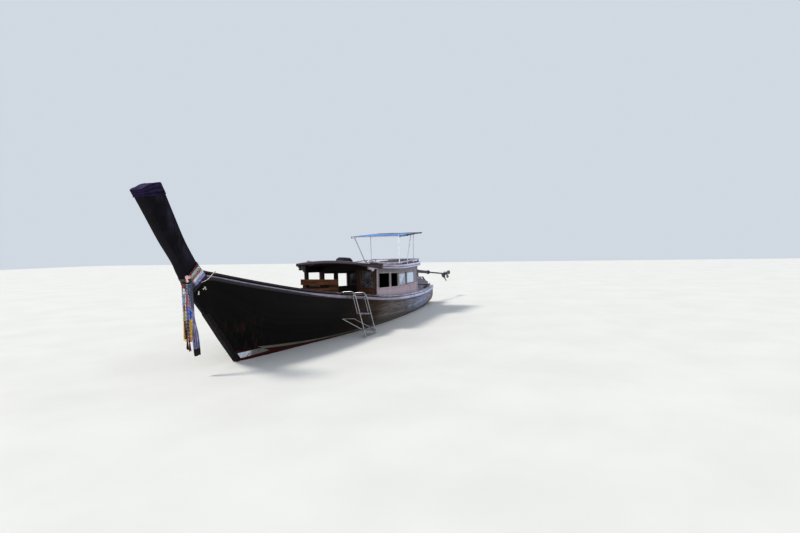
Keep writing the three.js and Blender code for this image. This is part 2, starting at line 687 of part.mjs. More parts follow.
// Scalloped knees on the inner face of the roof's edge board, hanging below it
function knee(side, from, to, depth) {
  const high = Math.min(roofUnder(from), roofUnder(to)) - 12;
  const low = roofEdge((from + to) / 2) - along(FASCIA_LOW, (from + to) / 2);
  const mid = (from + to) / 2;
  const y = side * (Math.min(roofHalf(from), roofHalf(to)) - FASCIA - 2 * GAP - KNEE / 2);
  return slabXZ([[from, high], [to, high], [to, low - depth * 0.2], [to - 60, low - depth * 0.45],
    [mid + 110, low - depth * 0.5], [mid + 50, low - depth], [mid - 50, low - depth],
    [mid - 110, low - depth * 0.5], [from + 60, low - depth * 0.45], [from, low - depth * 0.2]],
  y - KNEE / 2, y + KNEE / 2).subtract(aboveRoof);
}
const kneePaint = paint('#a79bb0', 0.8);
piece('knee_port', knee(1, 150, 850, 95), kneePaint);
piece('knee_starboard', knee(-1, FORE_POST_X + POST / 2 + 4, 1140, 95), kneePaint);

// Low railing round the after part of the roof
function roofRail() {
  const out = (x) => roofHalf(x) - 60;
  const foot = (x) => roofEdge(x) - 10;
  const top = (x) => roofEdge(x) + along(RAIL_TOP, x);
  const parts = [];
  for (const side of [1, -1]) {
    RAIL_POSTS.forEach((x) => parts.push(block(x - 24, x + 24, side * out(x) - 18, side * out(x) + 18,
      foot(x), top(x) - 4)));
    parts.push(solid(loft(stationsBetween(RAIL_POSTS[RAIL_POSTS.length - 1] - 24, RAIL_POSTS[0] + 24)
      .map((x) => [
        [x, side * (out(x) + 24), top(x)], [x, side * (out(x) - 24), top(x)],
        [x, side * (out(x) - 24), top(x) - 34], [x, side * (out(x) + 24), top(x) - 34],
      ]))));
  }
  const last = RAIL_POSTS[RAIL_POSTS.length - 1];
  parts.push(block(last - 24, last + 24, -out(last), out(last), top(last) - 36, top(last) - 2));
  for (const y of [-280, 280]) parts.push(block(last - 24, last + 24, y - 20, y + 20, foot(last), top(last) - 10));
  return joined(parts).subtract(belowRoofTop);
}
piece('roof_railing', roofRail(), paint('#b9b0c0', 0.7));

// Canopy: tube frame and blue sheet
function canopyZ(x) {
  let i = 0;
  while (i < CANOPY_LINE.length - 2 && x > CANOPY_LINE[i + 1][0]) i += 1;
  const [[x0, z0], [x1, z1]] = [CANOPY_LINE[i], CANOPY_LINE[i + 1]];
  return z0 + ((x - x0) / (x1 - x0)) * (z1 - z0);
}
const roofTopAt = (x, y) => roofEdge(x) + ROOF_CAMBER * (1 - (y / (roofHalf(x) - ROOF_INNER)) ** 2);
function canopyFrame() {
  const y = CANOPY_HALF - 40;
  const parts = [];
  const fore = CANOPY_LINE[CANOPY_LINE.length - 1][0] - 30;
  const aft = CANOPY_LINE[0][0] + 30;
  for (const [side, footX, footY, headX] of CANOPY_LEGS) {
    parts.push(bar([footX, side * footY, roofTopAt(footX, footY) - 60],
      [headX, side * y, canopyZ(headX) - CANOPY_TUBE - 1], CANOPY_TUBE));
  }
  for (const side of [1, -1]) {
    for (let i = 0; i < CANOPY_LINE.length - 1; i += 1) {
      const a = Math.max(CANOPY_LINE[i][0], aft);
      const b = Math.min(CANOPY_LINE[i + 1][0], fore);
      parts.push(bar([a - 8, side * y, canopyZ(a) - CANOPY_TUBE], [b + 8, side * y, canopyZ(b) - CANOPY_TUBE],
        CANOPY_TUBE));
    }
  }
  for (const x of [aft + 10, -3350, -2700, fore - 10]) {
    parts.push(bar([x, -y, canopyZ(x) - CANOPY_TUBE], [x, y, canopyZ(x) - CANOPY_TUBE], CANOPY_TUBE));
  }
  const aboveFrame = solid(loft(CANOPY_LINE.map(([x, z]) => [
    [x, 900, z + 300], [x, -900, z + 300], [x, -900, z], [x, 900, z],
  ])));
  return joined(parts).subtract(belowRoofTop).subtract(aboveFrame);
}
piece('canopy_frame', canopyFrame(), paint('#d8dde0', 0.4, 0.3));

function canopySheet() {
  const rings = CANOPY_LINE.map(([x, tube]) => {
    const z = tube + GAP;
    const h = CANOPY_HALF;
    return [
      [x, h, z - 70], [x, h, z + CANOPY_SHEET], [x, -h, z + CANOPY_SHEET], [x, -h, z - 70],
      [x, -h + CANOPY_SHEET, z - 70], [x, -h + CANOPY_SHEET, z], [x, h - CANOPY_SHEET, z],
      [x, h - CANOPY_SHEET, z - 70],
    ];
  });
  return loft(rings);
}
piece('canopy_sheet', canopySheet(), paint('#1f78d8', 0.8));

// Bench with a two-plank back, across the fore end of the covered space
function bench() {
  const parts = [];
  for (const y of [-350, 490]) {
    parts.push(block(1770, 1815, y - 30, y + 30, SOLE + GAP, 1370));
    parts.push(block(1390, 1435, y - 30, y + 30, SOLE + GAP, 560));
    parts.push(block(1390, 1815, y - 20, y + 20, 500, 562));
  }
  parts.push(block(1370, 1790, -450, 585, 560, 590));
  parts.push(block(1812, 1840, -450, 585, 1235, 1372));
  parts.push(block(1812, 1840, -450, 585, 1030, 1160));
  return joined(parts);
}
piece('bench', bench(), paint('#8a5236', 0.75));

// Bundles lying on the roof
function bundle(x, y, half, height) {
  const dome = new THREE.SphereGeometry(1, 14, 10);
  dome.rotateX(Math.PI / 2);
  dome.scale(half[0], half[1], height);
  dome.translate(x, y, roofTopAt(x, y) + height * 0.2);
  return solid(dome).subtract(belowRoofTop);
}
piece('roof_bundle', bundle(740, 320, [300, 210], 145), paint('#1c2440', 0.9));

// Boarding ladder hooked over the port gunwale, leaning outboard, held off the planking below
const LADDER_RISE = (capTop(LADDER_X + LADDER_HALF) - capTop(LADDER_X - LADDER_HALF)) / (2 * LADDER_HALF);
function ladder() {
  const parts = [];
  const r = LADDER_TUBE;
  const [topY, topZ] = LADDER_TOP;
  const [footY, footZ] = LADDER_FOOT;
  const railY = (z) => topY + ((topZ - z) / (topZ - footZ)) * (footY - topY);
  const left = LADDER_X + LADDER_HALF;
  const right = LADDER_X - LADDER_HALF;
  // The whole ladder lies to the slope of the gunwale
  const lift = (x) => (x - LADDER_X) * LADDER_RISE;
  const rod = (x, y0, z0, y1, z1, radius) => parts.push(
    bar([x, y0, z0 + lift(x)], [x, y1, z1 + lift(x)], radius, 6));
  const tread = (z, y0, y1, half) => parts.push(solid(loft([right, left].map((x) => [
    [x, y0, z + lift(x) - half], [x, y1, z + lift(x) - half],
    [x, y1, z + lift(x) + half], [x, y0, z + lift(x) + half],
  ]))));
  const thin = r * 0.78;
  [right, left].forEach((x, i) => {
    const board = capTop(x + r) + GAP;
    // Hook over the gunwale board: [y, z]
    const hook = [[720, board - 30], [775, board], [820, board + r], [940, board + r + 6],
      [1040, board + r + 4], [1086, board - 24], [1102, board - 70], [topY, topZ + lift(x)]];
    parts.push(tube(hook.map(([y, z]) => [x, y, z]), r, 10, 6));
    rod(x, topY, topZ + 2, footY, footZ, r);
    // Short inner rail from the gunwale to the first tread
    rod(x, railY(960) - 60, 960, railY(LADDER_TREADS[0]) - 60, LADDER_TREADS[0] - 10, thin);
    rod(x, railY(950) - 66, 950, railY(950), 950, thin);
    // Stand-off: down along the rails, and inboard to the planking
    const kneeY = railY(STAND_OFF_Z[0]) - 44;
    rod(x, railY(footZ + 20) - 40, footZ + 20, kneeY, STAND_OFF_Z[0], thin);
    rod(x, railY(footZ + 24) - 46, footZ + 24, railY(footZ + 24), footZ + 24, thin);
    const far = STAND_OFF_X[i];
    const off = breadth(far, STAND_OFF_Z[1] + lift(far)) + thin + 3;
    parts.push(bar([x, kneeY, STAND_OFF_Z[0] + lift(x)], [far, off, STAND_OFF_Z[1] + lift(far)], thin, 6));
  });
  const ends = STAND_OFF_X.map((x) => [x, breadth(x, STAND_OFF_Z[1] + lift(x)) + thin + 3,
    STAND_OFF_Z[1] + lift(x)]);
  parts.push(bar(ends[0], ends[1], thin, 6));
  tread(950, railY(950) - 84, railY(950) - 30, 12);
  for (const z of LADDER_TREADS) tread(z, railY(z) - 72, railY(z) + 30, 12);
  return joined(parts).subtract(capsClear);
}
piece('boarding_ladder', ladder(), paint('#c9cfd3', 0.3, 0.8));

// Engine stand on the stern deck, with raking legs to the transom
function engineStand() {
  const [px, , pz] = PIVOT;
  const high = pz - YOKE_DROP;
  const parts = [
    block(px - 200, px + 200, -220, 220, STERN_DECK_TOP + GAP, STERN_DECK_TOP + 28),
    block(px - 75, px + 75, -75, 75, STERN_DECK_TOP + 10, high),
    block(px - 120, px + 120, -120, 120, high - 18, high),
  ];
  // Cross bar with the raking legs from its ends
  parts.push(block(px - 65, px - 25, -310, 310, high - 46, high - 18));
  for (const side of [1, -1]) {
    parts.push(bar([px - 45, side * 288, high - 32], [-6168, side * 372, transomTop - 4], 24));
  }
  return joined(parts).subtract(block(-6300, -6100, -900, 900, 0, transomTop + GAP)).subtract(capsClear);
}
piece('engine_stand', engineStand(), paint('#2a2a2d', 0.6, 0.4));

// Swivel yoke that turns on the stand
const swivel = new THREE.Group();
swivel.position.set(...PIVOT);
swivel.rotation.z = -deg(SWING);
boat.add(swivel);
function yoke() {
  const low = -YOKE_DROP + GAP;
  return joined([
    bar([0, 0, low], [0, 0, low + 22], 112, 20),
    block(-60, 60, -112, -92, low + 10, 45),
    block(-60, 60, 92, 112, low + 10, 45),
    bar([0, -130, 0], [0, -74 - GAP, 0], 26, 12),
    bar([0, 74 + GAP, 0], [0, 130, 0], 26, 12),
  ]);
}
piece('swivel_yoke', yoke(), paint('#3b3c40', 0.5, 0.6), swivel);

// Tail: engine bed, engine, housing, shaft tube, skeg and tiller as one lever
const tail = new THREE.Group();
tail.rotation.y = -deg(DROOP);
swivel.add(tail);
function tailHousing() {
  return joined([
    bar([120, 0, 0], [-1180, 0, 0], 62, 16, 52),
    block(-75, 75, -74, 74, -55, 55),
    bar([-1180, 0, 0], [-1240, 0, 0], 75, 16),
    block(40, 1150, -160, -105, 20, 70),
    block(40, 1150, 105, 160, 20, 70),
    block(110, 160, -160, 160, 20, 70),
    block(1060, 1110, -160, 160, 20, 70),
    block(90, 200, -120, 120, -20, 60),
  ]);
}
piece('tail_housing', tailHousing().subtract(block(-85, 85, -200, -78, -80, 120))
  .subtract(block(-85, 85, 78, 200, -80, 120)), paint('#4a4552', 0.5, 0.3), tail);
piece('engine', joined([
  block(215, 1050, -98, 98, -60, 120),
  block(170, 1060, -215, 215, 70 + GAP, 300),
  block(260, 960, -150, 150, 290, 425),
]), paint('#5a5550', 0.6, 0.4), tail);
piece('shaft_tube', joined([
  bar([-1240 - GAP, 0, 0], [-(TAIL_LENGTH - 60), 0, 0], 26, 14),
  bar([-(TAIL_LENGTH - 330), 0, 0], [-(TAIL_LENGTH - 70), 0, 0], 40, 14),
  slabXZ(SKEG.map(([ahead, z]) => [ahead - TAIL_LENGTH, z]), -5, 5),
]), paint('#35343a', 0.5, 0.5), tail);
piece('tiller', joined([
  bar([1160, 0, 45], [1700, 0, 190], 20, 10),
  block(1150 + GAP, 1172, -160, 160, 20, 70),
]), paint('#3a3a3c', 0.5, 0.5), tail);

// Propeller: hub and three pitched blades
function propeller() {
  const x = -TAIL_LENGTH;
  const hub = bar([x + 60 - 2 * GAP, 0, 0], [x - 40, 0, 0], 30, 14, 20);
  const blades = [0, 1, 2].map((i) => {
    const g = new THREE.BoxGeometry(12, 95, PROPELLER_RADIUS - 15);
    g.rotateZ(deg(28));
    g.translate(0, 0, 15 + (PROPELLER_RADIUS - 15) / 2);
    g.rotateX((2 * Math.PI * i) / 3 + deg(PROPELLER_TURN));
    g.translate(x, 0, 0);
    return solid(g);
  });
  return joined([hub, ...blades]);
}
piece('propeller', propeller(), paint('#8f8f93', 0.4, 0.7), tail);

// Garlands and a long ribbon hanging from the cloth on the neck, in front of the stem
function hanging(x, y, high, low, halfX, halfY) {
  const levels = [[low, 0.5], [low + 120, 0.85], [(high + low) / 2, 1], [high - 100, 0.95], [high, 0.8]];
  const rings = levels.map(([z, k]) => Array.from({ length: 10 }, (_, i) => {
    const a = (2 * Math.PI * i) / 10;
    return [x + k * halfX * Math.cos(a), y + k * halfY * Math.sin(a), z];
  }));
  return solid(loft(rings)).subtract(neckBand(GAP)).subtract(prowClear);
}
piece('garlands', hanging(6350, 60, 1620, 430, 68, 84), paint('#c9762c', 0.9));
piece('long_ribbon', hanging(6236, 158, 1600, 310, 40, 44), paint('#8e88b0', 0.9));

export default boat;
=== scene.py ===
import bisect
import math
import random
import bmesh
import bpy
from mathutils import Matrix, Vector


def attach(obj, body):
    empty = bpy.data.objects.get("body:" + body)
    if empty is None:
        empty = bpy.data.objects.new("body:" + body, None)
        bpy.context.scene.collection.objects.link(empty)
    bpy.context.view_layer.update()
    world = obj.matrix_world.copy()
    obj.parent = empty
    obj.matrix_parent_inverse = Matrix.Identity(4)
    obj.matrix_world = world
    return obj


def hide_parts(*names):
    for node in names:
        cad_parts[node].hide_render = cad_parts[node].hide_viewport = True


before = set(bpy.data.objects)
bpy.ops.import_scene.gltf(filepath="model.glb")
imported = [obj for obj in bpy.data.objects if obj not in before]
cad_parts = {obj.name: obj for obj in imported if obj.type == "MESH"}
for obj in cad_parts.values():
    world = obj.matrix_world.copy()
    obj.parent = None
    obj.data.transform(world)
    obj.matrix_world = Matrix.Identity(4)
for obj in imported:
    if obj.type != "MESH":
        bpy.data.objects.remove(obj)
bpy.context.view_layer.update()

# Where the boat is seen from
# A person's eye height above the water off the port bow, with a wide lens, and the horizon a
# little lower on the left than on the right.
EYE = Vector((13.454, 6.5, 2.1))
SIGHT_LINE = math.radians(20.3)       # boat's length against the line of sight
FILM_WIDTH = 36
LENS_PER_WIDTH = 533 / 800
DIP = math.atan(18.2 / 533)
TILT = 0.0205

ahead = Vector((-math.cos(SIGHT_LINE), -math.sin(SIGHT_LINE), 0))
across = Vector((-math.sin(SIGHT_LINE), math.cos(SIGHT_LINE), 0))
plumb = Vector((0, 0, 1))
look = ahead * math.cos(DIP) - plumb * math.sin(DIP)
level_up = plumb * math.cos(DIP) + ahead * math.sin(DIP)
frame_x = across * math.cos(TILT) - level_up * math.sin(TILT)
frame_y = across * math.sin(TILT) + level_up * math.cos(TILT)

lens = bpy.data.cameras.new("view_from_port_bow")
lens.sensor_width = FILM_WIDTH
lens.lens = LENS_PER_WIDTH * FILM_WIDTH
lens.clip_end = 200
camera = bpy.data.objects.new("view_from_port_bow", lens)
bpy.context.collection.objects.link(camera)
turn = Matrix((frame_x, frame_y, -look)).transposed().to_4x4()
camera.matrix_world = Matrix.Translation(EYE) @ turn
bpy.context.scene.camera = camera

# Mooring loop at the neck
# A thin pale rope from the port gunwale up into the cloth on the neck of the prow. It is laid
# from three strands; both ends go into other pieces.


class Tone:
    """A socket of the finish being mixed. Sums on it lay Math nodes."""

    def __init__(self, nodes, socket=None):
        self.nodes, self.socket = nodes, socket

    def add(self, kind, values=None, out=0, **settings):
        """A node of this type. Settings come first, then the values or links of its sockets."""
        made = self.nodes.new(kind)
        for name, value in settings.items():
            setattr(made, name, value)
        for key, value in (values or {}).items():
            entry = made.inputs[key]
            if isinstance(value, Tone):
                self.nodes.id_data.links.new(value.socket, entry)
            elif entry.type == "RGBA" and len(value) == 3:
                entry.default_value = (*value, 1)
            else:
                entry.default_value = value
        return Tone(self.nodes, made.outputs[out] if made.outputs else None)

    def sum(self, operation, *others):
        return self.add("ShaderNodeMath", dict(enumerate((self, *others))), operation=operation)

    def __add__(self, other):
        return self.sum("ADD", other)

    def __sub__(self, other):
        return self.sum("SUBTRACT", other)

    def __mul__(self, other):
        return self.sum("MULTIPLY", other)

    def __truediv__(self, other):
        return self.sum("DIVIDE", other)

    def __pow__(self, other):
        return self.sum("POWER", other)

    __radd__ = __add__
    __rmul__ = __mul__

    def __rsub__(self, other):
        return self.add("ShaderNodeMath", {0: other, 1: self}, operation="SUBTRACT")

    def rise(self, low, high, to_low=0.0, to_high=1.0):
        """Smooth step of this value from low to high"""
        return self.add("ShaderNodeMapRange", {"Value": self, "From Min": low, "From Max": high,
                        "To Min": to_low, "To Max": to_high}, interpolation_type="SMOOTHSTEP")

    def band(self, low, high, soft):
        """1 between low and high, with soft edges"""
        return self.rise(low - soft, low + soft) * self.rise(high + soft, high - soft)

    def blend(self, under, over):
        """Colour under, and over it where this value is 1"""
        return self.add("ShaderNodeMix", {0: self, 6: under, 7: over}, out=2, data_type="RGBA")

    def xyz(self):
        split = self.add("ShaderNodeSeparateXYZ", {0: self})
        outs = split.socket.node.outputs
        return [Tone(self.nodes, outs[i]) for i in range(3)]

    def scaled(self, x, y, z):
        return self.add("ShaderNodeVectorMath", {0: self, 1: (x, y, z)}, operation="MULTIPLY")

    def cloud(self, scale, detail=4, rough=0.55, warp=0.0):
        """Noise from 0 to 1 at this point"""
        return self.add("ShaderNodeTexNoise", {"Vector": self, "Scale": scale, "Detail": detail,
                        "Roughness": rough, "Distortion": warp})

    def grey(self):
        """Value that is random for each whole number"""
        return self.add("ShaderNodeTexWhiteNoise", {"W": self}, noise_dimensions="1D")


def finish(name, mix, rough=0.6, depth=0.002, shine=0.5, sheen=0.0):
    """A material; mix(point, board) gives its colour, and maybe its relief, roughness and metal.
    point is the place on the boat in metres, board the place on the boards of the piece."""
    made = bpy.data.materials.new(name)
    made.use_nodes = True
    nodes = made.node_tree.nodes
    nodes.clear()
    start = Tone(nodes)
    point = start.add("ShaderNodeTexCoord", out=3)
    board = start.add("ShaderNodeUVMap", uv_map="boards")
    got = mix(point, board)
    values = {"Base Color": got["colour"], "Roughness": got.get("rough", rough),
              "Metallic": got.get("metal", 0), "Alpha": got.get("clear", 1),
              "Specular IOR Level": shine, "Sheen Weight": sheen}
    if "relief" in got:
        values["Normal"] = start.add("ShaderNodeBump", {"Height": got["relief"], "Distance": depth,
                                     "Strength": 0.8})
    body = start.add("ShaderNodeBsdfPrincipled", values)
    start.add("ShaderNodeOutputMaterial", {"Surface": body})
    return made


def keep(name, shape, material, body="hull"):
    """A piece of the boat with its finish, riding on its body"""
    piece = bpy.data.objects.new(name, shape)
    bpy.context.collection.objects.link(piece)
    shape.materials.append(material)
    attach(piece, body)
    return piece


def soften(mesh, angle=35):
    """Smooth shading with sharp corners kept"""
    mesh.polygons.foreach_set("use_smooth", [True] * len(mesh.polygons))
    mesh.set_sharp_from_angle(angle=math.radians(angle))
    return mesh


def smooth_path(points, steps):
    """More points on a smooth curve through these"""
    pts = [Vector(p) for p in points]
    out = []
    for i in range(len(pts) - 1):
        a, b = pts[i], pts[i + 1]
        before = pts[i - 1] if i else a - (b - a)
        after = pts[i + 2] if i + 2 < len(pts) else b + (b - a)
        for k in range(steps):
            t = k / steps
            out.append(0.5 * ((2 * a) + (b - before) * t + (2 * before - 5 * a + 4 * b - after) * t * t
                              + (3 * a - before - 3 * b + after) * t ** 3))
    return [*out, pts[-1]]


def run_length(points):
    return sum((b - a).length for a, b in zip(points, points[1:]))


def rod(name, points, radius, material, turns=6):
    """A rope or string through points, as a curve of one open spline"""
    curve = bpy.data.curves.new(name, "CURVE")
    curve.dimensions = "3D"
    curve.bevel_depth = radius
    curve.bevel_resolution = turns
    curve.use_fill_caps = True
    spline = curve.splines.new("POLY")
    spline.points.add(len(points) - 1)
    for place, p in zip(spline.points, points):
        place.co = (*p, 1)
    return keep(name, curve, material)


def rope_colour(point, board):
    x, y, z = point.xyz()
    strand = ((x * 9 + z * 6 + y * 4) * 60).sum("SINE")
    wear = point.cloud(30)
    colour = wear.rise(0.3, 0.75).blend((0.62, 0.52, 0.42), (0.86, 0.8, 0.72))
    return {"colour": strand.rise(-1, 0.2).blend((0.4, 0.33, 0.27), colour), "relief": strand}


pale_rope = finish("pale_rope", rope_colour, rough=0.9)
ROPE = 0.007
loop_points = smooth_path([(5.80, 0.196, 1.725), (5.825, 0.228, 1.762), (5.875, 0.247, 1.75),
                           (5.935, 0.235, 1.70), (5.99, 0.205, 1.64), (6.035, 0.165, 1.603),
                           (6.07, 0.12, 1.585)], 4)
mooring_loop = rod("mooring_loop", loop_points, ROPE, pale_rope)
run_length(loop_points)

# Hull planking
# Carvel planks of hardwood, thirteen to a side, on bent frames: a trough that is open at the
# top. The bow is painted black; from there aft the paint has gone brown and then grey.
HULL_ROWS = [
    # x, half-beam at the sheer, height of the sheer, lower edge of the planking, fullness
    (-6.2, 0.56, 0.645, -0.1, 5.5), (-5.0, 0.74, 0.6, -0.22, 4.6), (-3.5, 0.9, 0.605, -0.34, 4.0),
    (-1.5, 1.0, 0.675, -0.425, 3.4), (0, 1.02, 0.79, -0.455, 3.1), (1.5, 0.98, 0.97, -0.465, 2.8),
    (2.6, 0.875, 1.1, -0.462, 2.2), (3.4, 0.775, 1.21, -0.45, 1.7), (3.9, 0.695, 1.292, -0.43, 1.45),
    (4.4, 0.59, 1.388, -0.35, 1.25), (4.75, 0.505, 1.46, -0.17, 1.12), (5.0, 0.43, 1.515, 0.085, 1.06),
    (5.4, 0.3, 1.608, 0.56, 1.05), (5.78, 0.17, 1.702, 1.01, 1.04),
]
HULL_AFT = -6.2
SECTION_STEPS = [0, 0.04, 0.11, 0.21, 0.35, 0.55, 1]
KEEL_HALF = 0.06
PLANK = 0.04
STRAKES = 13
SEAM = 0.0014
SEAM_EDGE = 0.007
SIDES = (("port", 1), ("starboard", -1))


def row_before(rows, x):
    """Number of the row at or before x that has another row after it"""
    return min(max(bisect.bisect_right([row[0] for row in rows], x) - 1, 0), len(rows) - 2)


def along(rows, x, k=1):
    """Smooth value of column k between the rows of a table"""
    i, last = row_before(rows, x), len(rows) - 1

    def slope(a, b):
        return (rows[b][k] - rows[a][k]) / (rows[b][0] - rows[a][0])
    m0 = slope(i - 1, i + 1) if i else slope(0, 1)
    m1 = slope(i, i + 2) if i + 1 < last else slope(last - 1, last)
    h = rows[i + 1][0] - rows[i][0]
    t = min(max((x - rows[i][0]) / h, 0), 1)
    return ((2 * t ** 3 - 3 * t ** 2 + 1) * rows[i][k] + (t ** 3 - 2 * t ** 2 + t) * h * m0
            + (3 * t ** 2 - 2 * t ** 3) * rows[i + 1][k] + (t ** 3 - t ** 2) * h * m1)


def broken(rows, x, k=1):
    """Value of column k on straight lines between the rows of a table"""
    i = row_before(rows, x)
    a, b = rows[i], rows[i + 1]
    return a[k] + (x - a[0]) / (b[0] - a[0]) * (b[k] - a[k])


def half_beam(x):
    return along(HULL_ROWS, x, 1)


def sheer(x):
    return along(HULL_ROWS, x, 2)


def hull_low(x):
    return along(HULL_ROWS, x, 3)


def side_at(x, s):
    """Outside of the planking at x, and at the share s of its height: y and z"""
    low, high, beam, full = hull_low(x), sheer(x), half_beam(x), along(HULL_ROWS, x, 4)
    section = [(t, KEEL_HALF + (beam - KEEL_HALF) * (1 - (1 - t) ** full)) for t in SECTION_STEPS]
    spread = min(0.05, s, 1 - s)
    near = [min(max(s + spread * k, 0), 1) for k in (-1, -0.5, 0, 0.5, 1)]
    return sum(broken(section, t) for t in near) / 5, low + (high - low) * s


def side_y(x, z):
    """Half-breadth outside the planking at x and height z"""
    low, high = hull_low(x), sheer(x)
    return side_at(x, min(max((z - low) / (high - low), 0), 1))[0]


PROW_ROWS = [
    # z, aft edge x, fore edge x, half-width aft, half-width fore of the post
    (1.0103, 5.7803, 5.89, 0.058, 0.046), (1.35, 5.7803, 6.18, 0.112, 0.052),
    (1.6, 5.8, 6.33, 0.125, 0.08), (1.75, 6.0, 6.418, 0.105, 0.096), (1.93, 6.133, 6.512, 0.1, 0.098),
    (2.3, 6.392, 6.785, 0.104, 0.102), (2.7, 6.612, 7.042, 0.11, 0.108),
    (3.04, 6.795, 7.258, 0.116, 0.116), (3.21, 6.89, 7.36, 0.119, 0.121),
]
HOOD_AFT = 5.78
# Where the planks' fore ends land: share of the height, x, z
HOOD_END = [(0, 5.84, 1.03), (0.25, 6.0, 1.19), (0.55, 6.15, 1.37), (0.8, 6.06, 1.56), (1.0, 5.975, 1.748)]
HOOD_FORE = HOOD_END[-1][1]


def post_half(x, z):
    """Half-width of the prow post at this place"""
    aft, fore, wa, wf = (along(PROW_ROWS, z, k) for k in (1, 2, 3, 4))
    return wa + (wf - wa) * min(max((x - aft) / (fore - aft), 0), 1)


def spaced(start, end, step):
    count = max(1, round(abs(end - start) / step))
    return [start + (end - start) * i / count for i in range(count + 1)]


def built(name, bm):
    """Mesh of what bm holds, with its faces turned outwards"""
    bmesh.ops.recalc_face_normals(bm, faces=bm.faces)
    mesh = bpy.data.meshes.new(name)
    bm.to_mesh(mesh)
    bm.free()
    return mesh


def skin(rings, closed=True, caps=True, boards=None):
    """Mesh through rings of equally many points; boards gives each point's place on the boards"""
    bm = bmesh.new()
    uv = bm.loops.layers.uv.new("boards") if boards else None
    verts = [[bm.verts.new(p) for p in ring] for ring in rings]
    n = len(rings[0])
    for i in range(len(rings) - 1):
        for j in range(n if closed else n - 1):
            k = (j + 1) % n
            face = bm.faces.new((verts[i][j], verts[i][k], verts[i + 1][k], verts[i + 1][j]))
            if boards:
                places = (boards[i][j], boards[i][k], boards[i + 1][k], boards[i + 1][j])
                for corner, place in zip(face.loops, places):
                    corner[uv].uv = place
    if caps and closed:
        bm.faces.new(verts[0][::-1])
        bm.faces.new(verts[-1])
    return built("skin", bm)


def hood_point(s, q, inside=0.0):
    """Point of the planks' fore ends, at the share s of the height: q goes from the last full
    section to where the plank lands on the side of the prow post"""
    y0, z0 = side_at(HOOD_AFT, s)
    x1, z1 = broken(HOOD_END, s, 1), broken(HOOD_END, s, 2)
    x, z = HOOD_AFT + (x1 - HOOD_AFT) * q, z0 + (z1 - z0) * q
    post = post_half(x, z) + 0.004
    y = post + max(y0 - post_half(HOOD_AFT, z0) - 0.004, 0.0) * (1 - q) ** 1.3
    return x, max(y - inside, 0.012), z


def plank_marks(edge):
    """Every plank from its lower to its upper edge: share of the height, depth of the seam, and
    place on the planks"""
    marks = []
    for n in range(STRAKES):
        marks += [(n / STRAKES, SEAM if n else 0, n), (n / STRAKES + edge, 0, n + 0.06),
                  ((n + 0.5) / STRAKES, 0, n + 0.5), ((n + 1) / STRAKES - edge, 0, n + 0.94)]
    return marks


def both_sides(outer, inner):
    """Ring from the port sheer down, up to starboard, and back along the inside"""
    return [*outer[::-1], *((x, -y, z) for x, y, z in outer),
            *((x, -y, z) for x, y, z in inner[::-1]), *inner]


def planked_trough():
    """Outside of both sides with a groove at each seam, inside smooth, up to the prow post"""
    rings, boards = [], []
    for x in spaced(HULL_AFT, HOOD_AFT, 0.12):
        low, high = hull_low(x), sheer(x)
        outer, inner, marks = [], [], []
        for s, cut, mark in plank_marks(SEAM_EDGE / (high - low)):
            y, z = side_at(x, s)
            outer.append((x, y - cut, z))
            marks.append((x, mark))
        outer.append((x, *side_at(x, 1)))
        marks.append((x, STRAKES - 0.01))
        for s in SECTION_STEPS:
            y, z = side_at(x, s)
            inner.append((x, max(y - PLANK, 0.014), low + PLANK + (high - low - PLANK) * s))
        rings.append(both_sides(outer, inner))
        wide = [(x, STRAKES * s) for s in SECTION_STEPS]
        boards.append([*marks[::-1], *((u, v + 40) for u, v in marks),
                       *((u, v + 40) for u, v in wide[::-1]), *wide])
    for q in (0.2, 0.4, 0.6, 0.8, 1.0):
        outer = [hood_point(s, q) for s, _, _ in plank_marks(SEAM_EDGE / 1.2)] + [hood_point(1, q)]
        inner = [hood_point(s, q, PLANK) for s in SECTION_STEPS]
        rings.append(both_sides(outer, inner))
        boards.append([(HOOD_AFT + q * 0.2, v) for u, v in boards[-1]])
    return soften(skin(rings, boards=boards), 50)


def plank_tones(point, board, lengths=3.4):
    """Random value for each plank of a piece, and lines at the planks' ends"""
    u, v, _ = board.xyz()
    row = v.sum("FLOOR")
    shift = row.grey() * lengths
    butt = (u + shift) / lengths
    own = (row * 7.31 + butt.sum("FLOOR") * 3.17).grey()
    part = butt.sum("FRACT")
    joint = part.rise(0.0, 0.0012) * part.rise(1.0, 0.9988)
    return own, joint, v.sum("FRACT")


